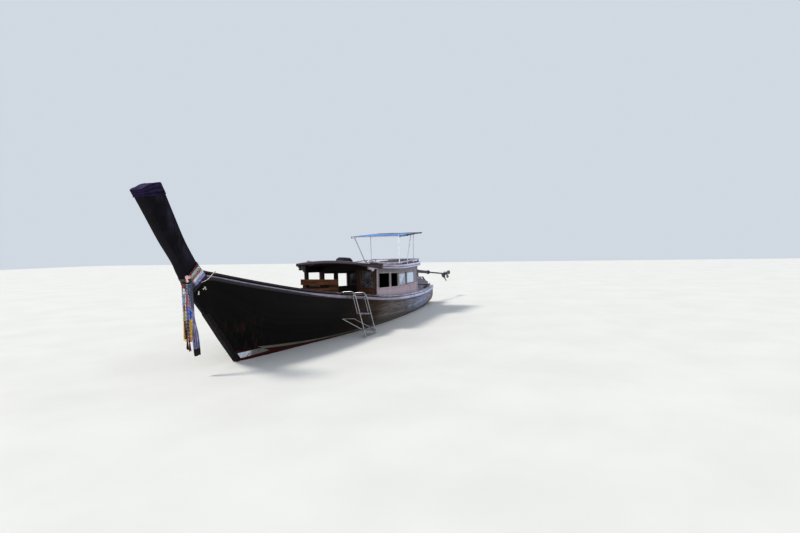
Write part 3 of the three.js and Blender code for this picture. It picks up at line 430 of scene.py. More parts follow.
def hull_colour(point, board):
    x, y, z = point.xyz()
    own, joint, side = plank_tones(point, board)
    grain = point.scaled(0.35, 6, 9).cloud(5, 8, 0.65)
    patch = point.cloud(1.1, 5, 0.6, 0.4)
    streak = point.scaled(7, 7, 0.5).cloud(1.6, 6, 0.6)
    fine = point.scaled(1.2, 30, 34).cloud(3, 4)
    place = x + (patch - 0.5) * 2.0 + z * 0.5
    bow = (0.003, 0.0025, 0.0028)
    brown = grain.rise(0.3, 0.75).blend((0.028, 0.015, 0.008), (0.085, 0.05, 0.028))
    warm = grain.rise(0.28, 0.72).blend((0.1, 0.084, 0.077), (0.28, 0.245, 0.225))
    cool = grain.rise(0.3, 0.75).blend((0.2, 0.22, 0.3), (0.5, 0.53, 0.66))
    aged = place.rise(1.3, -0.6).blend(brown, warm)
    aged = place.rise(-0.8, -3.9).blend(aged, cool)
    # Below a slanting line at the quarter the paint is off, and the wood shows pinkish brown
    bare = (x * -0.42 - z - 1.95 + (streak - 0.5) * 0.5).rise(-0.04, 0.14) * (z - 0.42).rise(0.1, -0.05)
    wood = streak.rise(0.25, 0.75).blend((0.2, 0.13, 0.12), (0.42, 0.3, 0.28))
    aged = bare.blend(aged, wood)
    colour = place.rise(0.8, 3.0).blend(aged, bow)
    # Rusty brown runs low on the bow
    runs = x.band(4.3, 5.6, 0.3) * z.band(0.1, 0.75, 0.2) * streak.rise(0.5, 0.72)
    colour = (runs * 0.8).blend(colour, (0.055, 0.02, 0.014))
    colour = own.rise(0, 1, 0.0, 0.4).blend(colour, (0.01, 0.008, 0.009))
    dry = streak.rise(0.58, 0.8) * place.rise(3.2, 0.5) * 0.35
    colour = dry.blend(colour, (0.3, 0.26, 0.25))
    seam = side.rise(0.0, 0.04) * side.rise(1.0, 0.96)
    colour = ((1 - seam * joint) * 0.6).blend(colour, (0.004, 0.0035, 0.004))
    # Scum and salt over the water, a pale boot-top line, and the red bottom
    wet = z.rise(0.16, 0.01)
    colour = (wet * 0.5 * place.rise(4, 1)).blend(colour, (0.05, 0.045, 0.04))
    line_low = (x - 0.5).sum("MAXIMUM", 0) ** 3 * 0.00205 + 0.025
    above = z - line_low
    thick = x.rise(3.0, 3.9, 0.036, 0.052)
    plate_end = x - z * 2.68
    boot = above.rise(0.0, 0.004) * (above - thick).rise(0.004, 0.0) * plate_end.rise(4.05, 4.02)
    chalk = patch.rise(0.2, 0.8).blend((0.11, 0.11, 0.085), (0.27, 0.26, 0.21))
    colour = (boot * x.rise(-5.5, -4.5)).blend(colour, chalk)
    red = patch.rise(0.3, 0.7).blend((0.035, 0.005, 0.004), (0.075, 0.011, 0.009))
    colour = (line_low - z).rise(0.0, 0.004).blend(colour, red)
    plate = plate_end.rise(4.03, 4.07) * (z + x * 0.044).rise(0.269, 0.273)
    plate = plate * (z + x * 0.036).rise(0.346, 0.342) * (z * 0.64 + 5.0 - x).rise(0, 0.01)
    chips = point.cloud(26, 3).rise(0.34, 0.4)
    white = streak.rise(0.2, 0.8).blend((0.46, 0.47, 0.56), (0.74, 0.75, 0.82))
    white = x.rise(4.86, 4.7).blend(white, (0.2, 0.19, 0.18))
    colour = (plate * chips).blend(colour, white)
    relief = grain * 0.45 + fine * 0.3 + joint * 0.5 + own * 0.12
    return {"colour": colour, "relief": relief,
            "rough": place.rise(1.2, 3.8, 0.62, 0.42) + (grain - 0.5) * 0.25}


hull_paint = finish("hull_paint", hull_colour, shine=0.1)
trough = keep("planking", planked_trough(), hull_paint)
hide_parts("hull_bottom", *(f"hull_side_{word}_{part}" for word, _ in SIDES
                                    for part in ("fore", "aft")))

# Still floor at the water's height
# The boat floats, so the floor stands where the water does. It is cut out along the waterline,
# halfway into the planks, so that the inside of the hull stays open.


def floor_with_hull_hole():
    rim = [(x, max(side_y(x, 0.0) - PLANK / 2, 0.03), 0) for x in spaced(-6.18, 4.93, 0.18)]
    rim.append((4.945, 0.0, 0))
    hole = [*rim, *((x, -y, z) for x, y, z in rim[-2::-1])]
    far = []
    for x, y, _ in hole:
        reach = 60 / max(abs(x), abs(y) * 3, 0.3)
        far.append((x * reach, y * reach * 4, 0))
    return skin([hole, far], caps=False)


def floor_colour(point, board):
    return {"colour": point.cloud(0.6, 3).rise(0.2, 0.8).blend((0.56, 0.56, 0.55), (0.6, 0.6, 0.59))}


floor = bpy.data.objects.new("studio_floor", floor_with_hull_hole())
bpy.context.collection.objects.link(floor)
floor.data.materials.append(finish("studio_floor", floor_colour, rough=0.8))

# Studio light
# A pale sky all round and one large soft light high on the starboard side, with a weak one
# from the camera's side.
world = bpy.data.worlds.new("studio")
bpy.context.scene.world = world
world.use_nodes = True
sky = world.node_tree.nodes["Background"]
sky.inputs["Color"].default_value = (0.86, 0.92, 1, 1)
sky.inputs["Strength"].default_value = 0.8
bpy.context.scene.view_settings.view_transform = "Standard"
bpy.context.scene.view_settings.gamma = 0.82
for name, angle, strength, tint, towards in (
        ("key_light", 12, 3.0, (1, 0.95, 0.86), (-0.35, 0.5, -0.8)),
        ("fill_light", 60, 0.9, (0.9, 0.94, 1), (-0.8, -0.5, -0.35))):
    sun = bpy.data.lights.new(name, "SUN")
    sun.energy, sun.angle, sun.color = strength, math.radians(angle), tint
    lamp = bpy.data.objects.new(name, sun)
    lamp.rotation_euler = Vector(towards).to_track_quat("-Z", "Y").to_euler()
    bpy.context.collection.objects.link(lamp)

# Prow post
# One tall raked timber, square with eased corners, black, with a painted violet sheen down the
# middle of its port face. It stands on the stem and between the ends of the gunwale boards.
PROW_CHAMFER = 0.016
# Slanting cut of the top: x, z
PROW_TOP = [(6.6, 3.208), (6.8, 3.208), (7.06, 3.165), (7.56, 2.916)]


def prow_ring(z, grow=0.0):
    """Square ring with eased corners round the post at z"""
    aft, fore, wa, wf = (along(PROW_ROWS, z, k) for k in (1, 2, 3, 4))
    aft, fore, wa, wf = aft - grow, fore + grow, wa + grow, wf + grow
    c = PROW_CHAMFER + grow * 0.6
    ring = []
    for cx, cy, from_angle in ((fore - c, wf - c, 0), (aft + c, wa - c, 90),
                               (aft + c, -(wa - c), 180), (fore - c, -(wf - c), 270)):
        for step in (0, 30, 60, 90):
            a = math.radians(from_angle + step)
            ring.append((cx + c * math.cos(a), cy + c * math.sin(a)))
    return ring


def top_at(x):
    """Height of the slanting cut at x"""
    return broken(PROW_TOP, x)


def prow_timber():
    """The shaft up to 2.9 m, and from there each corner on its own rake to the slanting cut"""
    shaft_end = 2.9
    rings = [[(x, y, z) for x, y in prow_ring(z)] for z in spaced(1.0103, shaft_end, 0.045)]
    ends = []
    for k in range(16):
        z = 3.1
        for _ in range(6):
            z = top_at(prow_ring(z)[k][0])
        ends.append(z)
    for t in (0.25, 0.5, 0.75, 1.0):
        levels = [shaft_end + (z - shaft_end) * t for z in ends]
        rings.append([(*prow_ring(z)[k], z) for k, z in enumerate(levels)])
    return soften(skin(rings), 40)


def prow_colour(point, board):
    x, y, z = point.xyz()
    streak = point.scaled(14, 14, 0.7).cloud(2.2, 6, 0.6)
    patch = point.cloud(3.2, 5, 0.6)
    low = z.rise(1.9, 1.4)
    black = patch.rise(0.3, 0.7).blend((0.005, 0.0045, 0.007), (0.012, 0.011, 0.018))
    # Painted highlight: the violet sheen is painted into a band down the middle of the port face
    violet = (streak * 0.6 + patch * 0.4).rise(0.4, 0.66).blend(black, (0.05, 0.046, 0.085))
    middle = (x - z * 0.6 - 5.06).band(-0.02, 0.12, 0.12)
    colour = (z.rise(1.75, 2.2) * middle * 0.95).blend(black, violet)
    worn = streak.rise(0.62, 0.72) * z.rise(1.8, 2.6) * 0.3
    colour = worn.blend(colour, (0.1, 0.065, 0.06))
    colour = (low * 0.6).blend(colour, (0.007, 0.006, 0.008))
    return {"colour": colour, "relief": streak * 0.6 + patch * 0.3,
            "rough": streak.rise(0.3, 0.8, 0.34, 0.6)}


prow_paint = finish("prow_paint", prow_colour, shine=0.08)
post = keep("prow_timber", prow_timber(), prow_paint)
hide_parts("prow_post")

# Keel and stem
# One hardwood timber under the planking and up the raked stem, red below the water and black
# above it.


def stem_colour(point, board):
    x, y, z = point.xyz()
    grain = point.scaled(3, 8, 3).cloud(6, 6)
    red = grain.rise(0.3, 0.7).blend((0.14, 0.02, 0.015), (0.27, 0.04, 0.03))
    black = grain.rise(0.4, 0.8).blend((0.008, 0.007, 0.009), (0.04, 0.025, 0.022))
    return {"colour": (z + (grain - 0.5) * 0.02).rise(0.0, 0.03).blend(red, black), "relief": grain,
            "rough": z.rise(0, 0.4, 0.75, 0.45)}


def ease_edges(piece, width, least=30):
    """Round off the edges that turn by more than this many degrees"""
    round_over = piece.modifiers.new("eased_edges", "BEVEL")
    round_over.width = width
    round_over.segments = 2
    round_over.limit_method = "ANGLE"
    round_over.angle_limit = math.radians(least)


def dress(material, *names, ease=0.004):
    """Finish and eased edges for nodes whose shape stays"""
    for name in names:
        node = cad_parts[name]
        for place in node.material_slots:
            place.material = material
        if ease:
            ease_edges(node, ease, 40)


dress(finish("stem_paint", stem_colour, depth=0.003, shine=0.1), "keel_and_stem", ease=0.006)

# Gunwale boards
# Broad hardwood boards laid flat on the sheer of both sides, dark paint worn to the wood on
# the inner half, with a paler line where hands and ropes rub.
SHEER_CAP = 0.036
SEAT_GAP = 0.0003


def sheer_board(side):
    rings, boards = [], []
    e = 0.007      # size of the rounding
    for x in [*spaced(HULL_AFT, 5.74, 0.12), 5.82, 5.89, 5.95, 5.995]:
        y, z = half_beam(x), sheer(x) + SEAT_GAP
        if x > HOOD_AFT:
            hood = (x - HOOD_AFT) / (HOOD_FORE - HOOD_AFT)
            _, y, z = hood_point(1, min(hood, 1.0))
            z += max(x - HOOD_FORE, 0) * 0.25
        out, inn, top = y + 0.022, max(y - 0.19, 0.008), z + SHEER_CAP
        outline = [(out, z + e), (out, top - 1.6 * e), (out - 0.6 * e, top - 0.5 * e),
                   (out - 1.8 * e, top), (out - 0.06, top), ((out + inn) / 2, top),
                   (inn + e, top), (inn, top - e), (inn, z + e), (inn + e, z), (out - e, z)]
        rings.append([(x, side * a, b) for a, b in outline])
        boards.append([(x, (out - a) / 0.105 + (0 if side > 0 else 50)) for a, b in outline])
    return soften(skin(rings, boards=boards), 45)


def gunwale_colour(point, board):
    x, y, z = point.xyz()
    own, joint, side = plank_tones(point, board, 2.9)
    grain = point.scaled(0.5, 10, 10).cloud(5, 7, 0.62)
    patch = point.cloud(2.2, 5, 0.6)
    streak = grain * 0.6 + patch * 0.5
    dark = grain.rise(0.3, 0.7).blend((0.012, 0.009, 0.013), (0.06, 0.045, 0.055))
    bare = grain.rise(0.3, 0.75).blend((0.1, 0.075, 0.075), (0.34, 0.3, 0.33))
    # Aft of the bow the paint is mostly gone
    worn = (streak + x.rise(5, 0, -0.22, 0.04)).rise(0.48, 0.64)
    colour = (worn * 0.9).blend(dark, bare)
    violet = grain.rise(0.3, 0.7).blend((0.2, 0.18, 0.26), (0.42, 0.4, 0.5))
    colour = (x.rise(-0.5, -3.0) * worn * 0.6).blend(colour, violet)
    scuffed = grain.rise(0.25, 0.7).blend((0.36, 0.345, 0.42), (0.8, 0.79, 0.88))
    colour = (x.rise(1.0, -0.6) * (0.45 + worn * 0.45)).blend(colour, scuffed)
    colour = (own * 0.3).blend(colour, (0.02, 0.017, 0.02))
    colour = ((1 - joint) * 0.8).blend(colour, (0.008, 0.007, 0.008))
    return {"colour": colour, "relief": grain * 0.5 + joint * 0.5, "rough": worn.rise(0, 1, 0.42, 0.78)}


gunwale_paint = finish("gunwale_paint", gunwale_colour, depth=0.003, shine=0.3)
for word, side in SIDES:
    board = keep(f"sheer_board_{word}", sheer_board(side), gunwale_paint)
    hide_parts(f"gunwale_{word}")

# Rub rails
# A half-round hardwood rail bolted along each side just below the gunwale, pale violet paint
# weathered to streaks, with a thin red line painted under it.


def rub_rail(side):
    rings, boards = [], []
    steps = [k / 8 for k in range(9)]
    for x in [*spaced(HULL_AFT, 5.77, 0.12), 5.83, 5.89, 5.95]:
        if x > HOOD_AFT:
            hood = (x - HOOD_AFT) / (HOOD_FORE - HOOD_AFT)
            (_, yh, high), (_, yl, low) = hood_point(0.97, hood), hood_point(0.85, hood)
        else:
            high, low = sheer(x) - 0.022, sheer(x) - 0.104
            yh, yl = side_y(x, high), side_y(x, low)
        ring = [(yh - 0.015, high), (yl - 0.015, low)]
        for t in steps:
            swell = math.sin(math.pi * t) ** 0.55
            ring.append((yl + (yh - yl) * t + 0.006 + 0.027 * swell, low + (high - low) * t))
        rings.append([(x, side * max(a, 0.01), b) for a, b in ring])
        boards.append([(x, t) for t in (1.0, 0.0, *steps)])
    return soften(skin(rings, boards=boards), 50)


def rail_colour(point, board):
    x, y, z = point.xyz()
    _, up, _ = board.xyz()
    grain = point.scaled(0.4, 7, 12).cloud(5, 8, 0.65)
    patch = point.cloud(2.6, 6, 0.6)
    pale = grain.rise(0.25, 0.75).blend((0.25, 0.225, 0.3), (0.56, 0.52, 0.63))
    # Towards the bow only a line near the top edge is still pale
    fade_and_shade = (x + (patch - 0.5) * 1.2).rise(1.2, 4.4, -0.25, 0.66)
    black = grain.rise(0.3, 0.75).blend((0.006, 0.005, 0.008), (0.03, 0.025, 0.035))
    kept = (up - fade_and_shade + (grain - 0.5) * 0.12).rise(-0.03, 0.05)
    colour = kept.blend(black, pale)
    colour = (x.band(-0.4, 3.4, 0.4) * up.rise(0.14, 0.1)).blend(colour, (0.28, 0.035, 0.02))
    colour = (x.rise(-2.2, 1.5) * 0.35).blend(colour, (0.09, 0.085, 0.1))
    colour = (x.rise(-0.6, -2.4) * 0.75).blend(colour, (0.72, 0.74, 0.96))
    chipped = (patch * 0.55 + grain * 0.5).rise(0.56, 0.66)
    colour = (chipped * 0.85).blend(colour, (0.1, 0.07, 0.07))
    return {"colour": colour, "relief": grain * 0.5 + chipped * -0.5, "rough": 0.7}


rail_paint = finish("rail_paint", rail_colour, depth=0.003, shine=0.3)
for word, side in SIDES:
    strip = keep(f"rub_strip_{word}", rub_rail(side), rail_paint)
    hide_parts(f"rub_rail_{word}")

# Decks, floorboards and frames
# Loose hardwood floorboards on sawn frames, a short foredeck and a stern deck of wider boards,
# oiled once and now grey and scuffed where people step.


def boards_of(across, run, width, length):
    """Random value of each board, and 1 away from its edges and ends"""
    row = (across / width + 200).sum("FLOOR")
    side = (across / width + 200).sum("FRACT")
    butt = (run + row.grey() * length + 60) / length
    own = (row * 7.31 + butt.sum("FLOOR") * 3.17).grey()
    part = butt.sum("FRACT")
    edge, end = 0.003 / width, 0.002 / length
    return own, side.rise(0, edge) * side.rise(1, 1 - edge) * part.rise(0, end) * part.rise(1, 1 - end)


def boarded(dark, light, width, across="y", run="x", scuffs=(0.4, 0.36, 0.33), worn=0.5, gloss=0.7,
            length=2.6):
    """Boards side by side across one axis, grain along the other"""
    def mix(point, board):
        axes = dict(zip("xyz", point.xyz()))
        own, gap = boards_of(axes[across], axes[run], width, length)
        pull = [0.45 if axis == run else 9 for axis in "xyz"]
        grain = point.scaled(*pull).cloud(4, 8, 0.65)
        patch = point.cloud(2.4, 5, 0.6)
        colour = grain.rise(0.28, 0.72).blend(dark, light)
        colour = (own * 0.35).blend(colour, tuple(c * 0.45 for c in dark))
        rubbed = (patch * 0.6 + grain * 0.5).rise(0.5, 0.68)
        colour = (rubbed * worn).blend(colour, scuffs)
        colour = ((1 - gap) * 0.85).blend(colour, tuple(c * 0.12 for c in dark))
        return {"colour": colour, "relief": grain * 0.4 + gap * 0.8 + own * 0.3,
                "rough": grain * 0.2 + rubbed * 0.15 + (gloss - 0.12)}
    return mix


for name, mix, pieces, ease in (
        ("deck_boards", boarded((0.11, 0.075, 0.055), (0.3, 0.22, 0.17), 0.15),
         ("foredeck", "stern_deck"), 0.004),
        ("floor_boards", boarded((0.13, 0.075, 0.045), (0.34, 0.22, 0.14), 0.12),
         ("cockpit_floor", "cabin_floor"), 0.003),
        ("frame_wood", boarded((0.09, 0.055, 0.04), (0.26, 0.17, 0.12), 0.3, "x", "y", worn=0.25),
         ("frames",), 0.004),
        ("upright_boards", boarded((0.12, 0.075, 0.055), (0.3, 0.21, 0.16), 0.16, "y", "z"),
         ("fore_peak_bulkhead",), 0.003),
        ("transom_boards", boarded((0.16, 0.1, 0.095), (0.4, 0.29, 0.27), 0.17, "z", "y"),
         ("transom",), 0.005)):
    dress(finish(name, mix, depth=0.003), *pieces, ease=ease)

# Cabin walls
# Tongued boards on posts, each wall in four lengths that stand on the gunwale board, with four
# window openings, cased all round, and a black strip standing for shade behind the third pane.
# The paint was pinkish white; it has chalked and streaked. Shade is painted in the window reveals
# and under the roof.
WALL = 0.03
WALL_INSET = 0.16
CABIN_FORE, CABIN_AFT = 0.095, -3.79
WINDOWS = [(-0.07, -0.86), (-0.985, -1.59), (-1.72, -2.37), (-2.53, -3.31)]
# x, sill z, head z
WINDOW_LINES = [(-3.79, 0.95, 1.34), (-1.655, 0.964, 1.352), (0.095, 1.034, 1.428)]
ROOF_LINE = [(-3.88, 1.62), (-3.0, 1.604), (-1.7, 1.6), (0, 1.668), (0.8, 1.712), (1.2, 1.737)]


def cap_top(x):
    return sheer(x) + SEAT_GAP + SHEER_CAP


def wall_y(x):
    return half_beam(x) - WALL_INSET


def on_wall(x, side, out):
    """So far out from the wall's outside"""
    return side * (wall_y(x) + WALL / 2 + out)


def sill_z(x):
    return broken(WINDOW_LINES, x, 1)


def head_z(x):
    return broken(WINDOW_LINES, x, 2)


def roof_edge(x):
    return along(ROOF_LINE, x)


def upright(x, y, low, high, wide, deep):
    """A stick that stands at this place, so wide along the boat and so deep across it"""
    return (x, y, low), (x, y, high), (wide, 0, 0), (0, deep, 0)


def timbers(name, sticks, material, ease=0.003):
    """Square timbers as one piece. A stick is its two ends, its width and its thickness, both as
    vectors."""
    bm = bmesh.new()
    uv = bm.loops.layers.uv.new("boards")
    for n, (a, b, wide, thick) in enumerate(sticks):
        a, b, w, t = Vector(a), Vector(b), Vector(wide) / 2, Vector(thick) / 2
        corners = ((-1, -1), (1, -1), (1, 1), (-1, 1))
        ends = [[bm.verts.new(p + w * i + t * j) for i, j in corners] for p in (a, b)]
        long = (b - a).length
        for k in range(4):
            m = (k + 1) % 4
            face = bm.faces.new((ends[0][k], ends[0][m], ends[1][m], ends[1][k]))
            for corner, place in zip(face.loops, ((0, 0.1), (0, 0.9), (long, 0.9), (long, 0.1))):
                corner[uv].uv = (place[0], n * 3 + place[1])
        for end in ends:
            for corner in bm.faces.new(end).loops:
                corner[uv].uv = (0.01, n * 3 + 0.5)
    made = keep(name, soften(built(name, bm)), material)
    ease_edges(made, ease)
    return made


def weathered(base_dark, base_light, bare, flake=0.6, run="z"):
    """Old paint that has chalked, run and flaked off to the wood"""
    def mix(point, board):
        pull = {"x": (0.5, 8, 8), "y": (8, 0.5, 8), "z": (8, 8, 0.5)}[run]
        streak = point.scaled(*pull).cloud(2.6, 7, 0.65)
        patch = point.cloud(3.1, 6, 0.6, 0.3)
        fine = point.cloud(38, 4, 0.6)
        colour = streak.rise(0.28, 0.72).blend(base_dark, base_light)
        off = (patch * 0.55 + streak * 0.3 + fine * 0.25).rise(0.62, 0.68)
        colour = (off * flake).blend(colour, bare)
        grime = (patch * 0.5 + streak * 0.6).rise(0.56, 0.36)
        colour = (grime * 0.35).blend(colour, tuple(c * 0.35 for c in base_dark))
        return {"colour": colour, "relief": streak * 0.3 - off * 0.5 + fine * 0.2,
                "rough": off.rise(0, 1, 0.72, 0.85)}
    return mix


def above_sill(x, z):
    return z - x.rise(-3.79, 0.1, 0.95, 1.034)


def wall_colour(point, board):
    x, y, z = point.xyz()
    got = weathered((0.3, 0.235, 0.25), (0.56, 0.47, 0.49), (0.25, 0.14, 0.12))(point, board)
    row = x / 0.115 + 80
    side = row.sum("FRACT")
    gap = side.rise(0, 0.04) * side.rise(1, 0.96)
    own = row.sum("FLOOR").grey()
    colour = (own * 0.22).blend(got["colour"], (0.24, 0.15, 0.15))
    # Rain splash and rub marks low on the wall
    foot = (z - x.rise(-4, 0.2, 0.66, 0.86)).rise(0.2, 0.0)
    colour = (foot * 0.35).blend(colour, (0.3, 0.2, 0.22))
    sill = above_sill(x, z)
    colour = (sill.rise(0.02, 0.0) * 0.45).blend(colour, (0.62, 0.5, 0.6))
    # Above the sills: bluish lilac paint aft, and forward a dark grey that is painted shade under the roof
    head = x.rise(-2.6, -0.6).blend((0.3, 0.29, 0.38), (0.14, 0.145, 0.155))
    colour = (sill.rise(0.02, 0.05) * 0.6).blend(colour, head)
    # The edges of the openings are darkened almost to black: painted shade in the reveals
    inward = x * -0.00176 - x * x * 0.01043 + 0.86115 + WALL / 2 - y.sum("ABSOLUTE")
    colour = (inward.rise(0.007, 0.01) * 0.9).blend(colour, (0.012, 0.009, 0.009))
    colour = ((1 - gap) * 0.6).blend(colour, (0.1, 0.07, 0.075))
    return {**got, "colour": colour, "relief": got["relief"] + gap * 0.7}


wall_paint = finish("wall_paint", wall_colour, depth=0.003)
dress(wall_paint, *(f"cabin_wall_{word}_{part}" for word, _ in SIDES
                    for part in ("corner", "fore", "middle", "aft")), ease=0.003)


def trim_colour(point, board):
    x, y, z = point.xyz()
    got = weathered((0.2, 0.18, 0.185), (0.44, 0.4, 0.41), (0.16, 0.1, 0.09), 0.5)(point, board)
    ledge = above_sill(x, z).rise(0.012, 0.0)
    return {**got, "colour": (ledge * 0.6).blend(got["colour"], (0.5, 0.42, 0.48))}


trim_paint = finish("trim_paint", trim_colour)

shade_strip_sticks = []
for word, side in SIDES:
    sticks = []
    for fore, aft in WINDOWS:
        for x in (fore + 0.019, aft - 0.019):
            y, low, high = on_wall(x, side, 0.005), sill_z(x), head_z(x)
            if (fore, aft) == WINDOWS[2] and x < aft:
                # Behind the third pane a black strip stands in for the shade in the gap
                shade_strip_sticks.append(upright(x - 0.004, y, low, high, 0.062, 0.013))
            else:
                sticks.append(upright(x, y, low - 0.03, high + 0.04, 0.036, 0.011))
        for line, high, thick, move in ((sill_z, 0.0385, 0.03, -0.02), (head_z, 0.035, 0.012, 0.02)):
            ends = [(x, on_wall(x, side, thick / 2), line(x) + move) for x in (fore + 0.03, aft - 0.03)]
            sticks.append((*ends, (0, thick, 0), (0, 0, high)))
    # Corner boards, and a rounding at the wall's foot
    for x in (CABIN_FORE - 0.035, CABIN_AFT + 0.035):
        y, low, high = on_wall(x, side, 0.006), cap_top(x) + 0.004, roof_edge(x) - 0.06
        sticks.append(upright(x, y, low, high, 0.07, 0.016))
    xs = spaced(CABIN_FORE - 0.01, CABIN_AFT + 0.01, 0.65)
    for a, b in zip(xs, xs[1:]):
        ends = [(x, on_wall(x, side, 0.008), cap_top(x) + 0.022) for x in (a, b)]
        sticks.append((*ends, (0, 0, 0.038), (0, 0.02, 0)))
    timbers(f"window_casings_{word}", sticks, trim_paint)


def worn_black(dark, light, scale):
    def mix(point, board):
        wear = point.cloud(scale, 4)
        return {"colour": wear.rise(0.3, 0.7).blend(dark, light), "relief": wear}
    return mix


# Near-black for the strip that stands in for shade behind the third pane
shade_strip_black = finish("shade_strip_black", worn_black((0.003, 0.005, 0.01), (0.009, 0.014, 0.025), 20),
                    rough=0.85, depth=0.001)
timbers("shade_strips", shade_strip_sticks, shade_strip_black, ease=0.002)

# Window glass
# Sliding panes in the two after windows of each side, and one in the front bulkhead: thin old
# glass in narrow sashes, hazed by salt and with painted sky reflection to port, and tinted nearly
# black to starboard as painted shade of the cabin's inside.


def haze_and_painted_sky_colour(point, board):
    haze = point.cloud(4, 5, 0.6)
    drip = point.scaled(22, 22, 0.9).cloud(2, 5)
    x, y, z = point.xyz()
    # Painted reflection: the pale sky blue is reflected sky painted into the glass; the haze and the white
    # drips are salt
    fore = x.rise(-2.4, -2.5).blend((0.26, 0.32, 0.44), (0.66, 0.8, 0.97))
    colour = haze.rise(0.3, 0.7).blend(fore, (0.66, 0.76, 0.9))
    return {"colour": (drip.rise(0.5, 0.8) * 0.5).blend(colour, (0.85, 0.87, 0.9)),
            "rough": haze.rise(0.2, 0.8, 0.08, 0.35), "clear": 0.88}


def dark_glass(dark, light, clear):
    def mix(point, board):
        haze = point.cloud(5, 5, 0.6)
        return {"colour": haze.rise(0.35, 0.75).blend(dark, light),
                "rough": haze.rise(0.2, 0.8, 0.1, 0.4), "clear": clear}
    return mix


port_glass = finish("hazed_glass_painted_sky", haze_and_painted_sky_colour)
bulkhead_glass = finish("dark_glass", dark_glass((0.06, 0.055, 0.065), (0.26, 0.25, 0.28), 0.75))
# Painted shade: the starboard panes are tinted nearly black and reddish, standing for the dark inside of the
# cabin
starboard_glass = finish("tinted_shade_glass", dark_glass((0.02, 0.007, 0.005), (0.09, 0.03, 0.02), 0.97))
dress(port_glass, "window_pane_port_3", "window_pane_port_4", ease=0)
dress(bulkhead_glass, "bulkhead_pane_port", ease=0)
dress(starboard_glass, "window_pane_starboard_3", "window_pane_starboard_4", ease=0)
sticks = []
for _, side in SIDES:
    for fore, aft in WINDOWS[2:]:
        y = side * wall_y((fore + aft) / 2)
        for x in (fore - 0.02, aft + 0.02):
            sticks.append(upright(x, y, sill_z(x) + 0.004, head_z(x) - 0.004, 0.032, 0.018))
        for line, move in ((sill_z, 0.018), (head_z, -0.018)):
            ends = [(x, y, line(x) + move) for x in (fore - 0.01, aft + 0.01)]
            sticks.append((*ends, (0, 0.018, 0), (0, 0, 0.03)))
timbers("window_sashes", sticks, trim_paint, ease=0.002)

# Bulkheads
# Varnished hardwood across both ends of the cabin, with a doorway in each; the fore one has a
# pane to port and an open window to starboard, framed in the same wood. A header board runs
# forward from it to the starboard post.


def varnish_colour(point, board):
    """Brown where painted sunlight falls on the port corner, nearly black with painted shade everywhere else
    """
    x, y, z = point.xyz()
    wood = boarded((0.05, 0.022, 0.015), (0.19, 0.088, 0.05), 0.13, "y", "z", (0.2, 0.11, 0.07), 0.35, 0.5)
    got = wood(point, board)
    patch = point.cloud(3, 4)
    lit = (y + (patch - 0.5) * 0.15).rise(0.24, 0.36) * (z + (patch - 0.5) * 0.1).rise(1.6, 1.46)
    return {**got, "colour": (0.95 - lit * 0.95).blend(got["colour"], (0.004, 0.002, 0.0015))}


varnished = finish("varnished_boards", varnish_colour, shine=0.25)
dress(varnished, "front_bulkhead", "aft_bulkhead", "fore_post", "roof_beams")


def jamb(x, y, low, high):
    return (x, y, low), (x, y, high), (0, 0.04, 0), (0.016, 0, 0)


def rail(x, from_y, to_y, z, high=0.036):
    return (x, from_y, z), (x, to_y, z), (0, 0, high), (0.02, 0, 0)


sticks = []
x = CABIN_FORE + 0.008
# From y, to y, sill z, head z; the doorway has no sill
for y0, y1, low, high in ((-0.325, 0.275, None, 1.5), (0.415, 0.79, 1.052, 1.49),
                          (-0.735, -0.42, 1.045, 1.45)):
    foot = -0.02 if low is None else low - 0.04
    sticks += [jamb(x, y, foot, high + 0.036) for y in (y0 - 0.018, y1 + 0.018)]
    sticks.append(rail(x + 0.002, y0 - 0.04, y1 + 0.04, high + 0.018))
    if low:
        sticks.append(rail(x + 0.002, y0 - 0.04, y1 + 0.04, low - 0.02))
sticks.append(rail(x + 0.004, 0.42, 0.78, 0.96, 0.05))
x = CABIN_AFT - 0.008
y0, y1 = 0.04, 0.56
sticks += [jamb(x, y, 0.51, 1.526) for y in (y0 - 0.018, y1 + 0.018)]
sticks.append(rail(x - 0.002, y0 - 0.04, y1 + 0.04, 1.508))
timbers("door_and_window_frames", sticks, varnished)
header = ((0.828, -0.846, 1.575), (0.098, -0.856, 1.55), (0, 0, 0.165), (0, 0.022, 0))
timbers("starboard_header", [header], varnished)

# Roof boards and moulded edge
# Long boards on beams, cambered, caulked and painted over many times, with a deep moulded board
# round the edge: dark red at the fore end, pale violet along the rest, with painted shade in its
# groove and along its foot, and a painted highlight along the top of the dark fore end.
ROOF_BOARD = 0.026
ROOF_CAMBER = 0.075
FASCIA = 0.03
FASCIA_LOW = [(-3.8, 0.116), (-1.0, 0.112), (0, 0.104), (0.7, 0.08), (1.2, 0.062)]


def roof_half(x):
    return half_beam(x) - 0.03


def roof_top(x, y):
    return roof_edge(x) + ROOF_CAMBER * (1 - (y / (roof_half(x) - FASCIA)) ** 2)


def roof_plate():
    rings, boards = [], []
    for x in spaced(-3.849, 1.169, 0.125):
        half = roof_half(x) - FASCIA - SEAT_GAP
        ys = [half * k / 8 for k in range(8, -9, -1)]
        rings.append([*((x, y, roof_top(x, y)) for y in ys),
                      *((x, y, roof_top(x, y) - ROOF_BOARD) for y in ys[::-1])])
        boards.append([*((x, y / 0.15 + 20) for y in ys), *((x, y / 0.15 + 40) for y in ys[::-1])])
    return soften(skin(rings, boards=boards), 40)


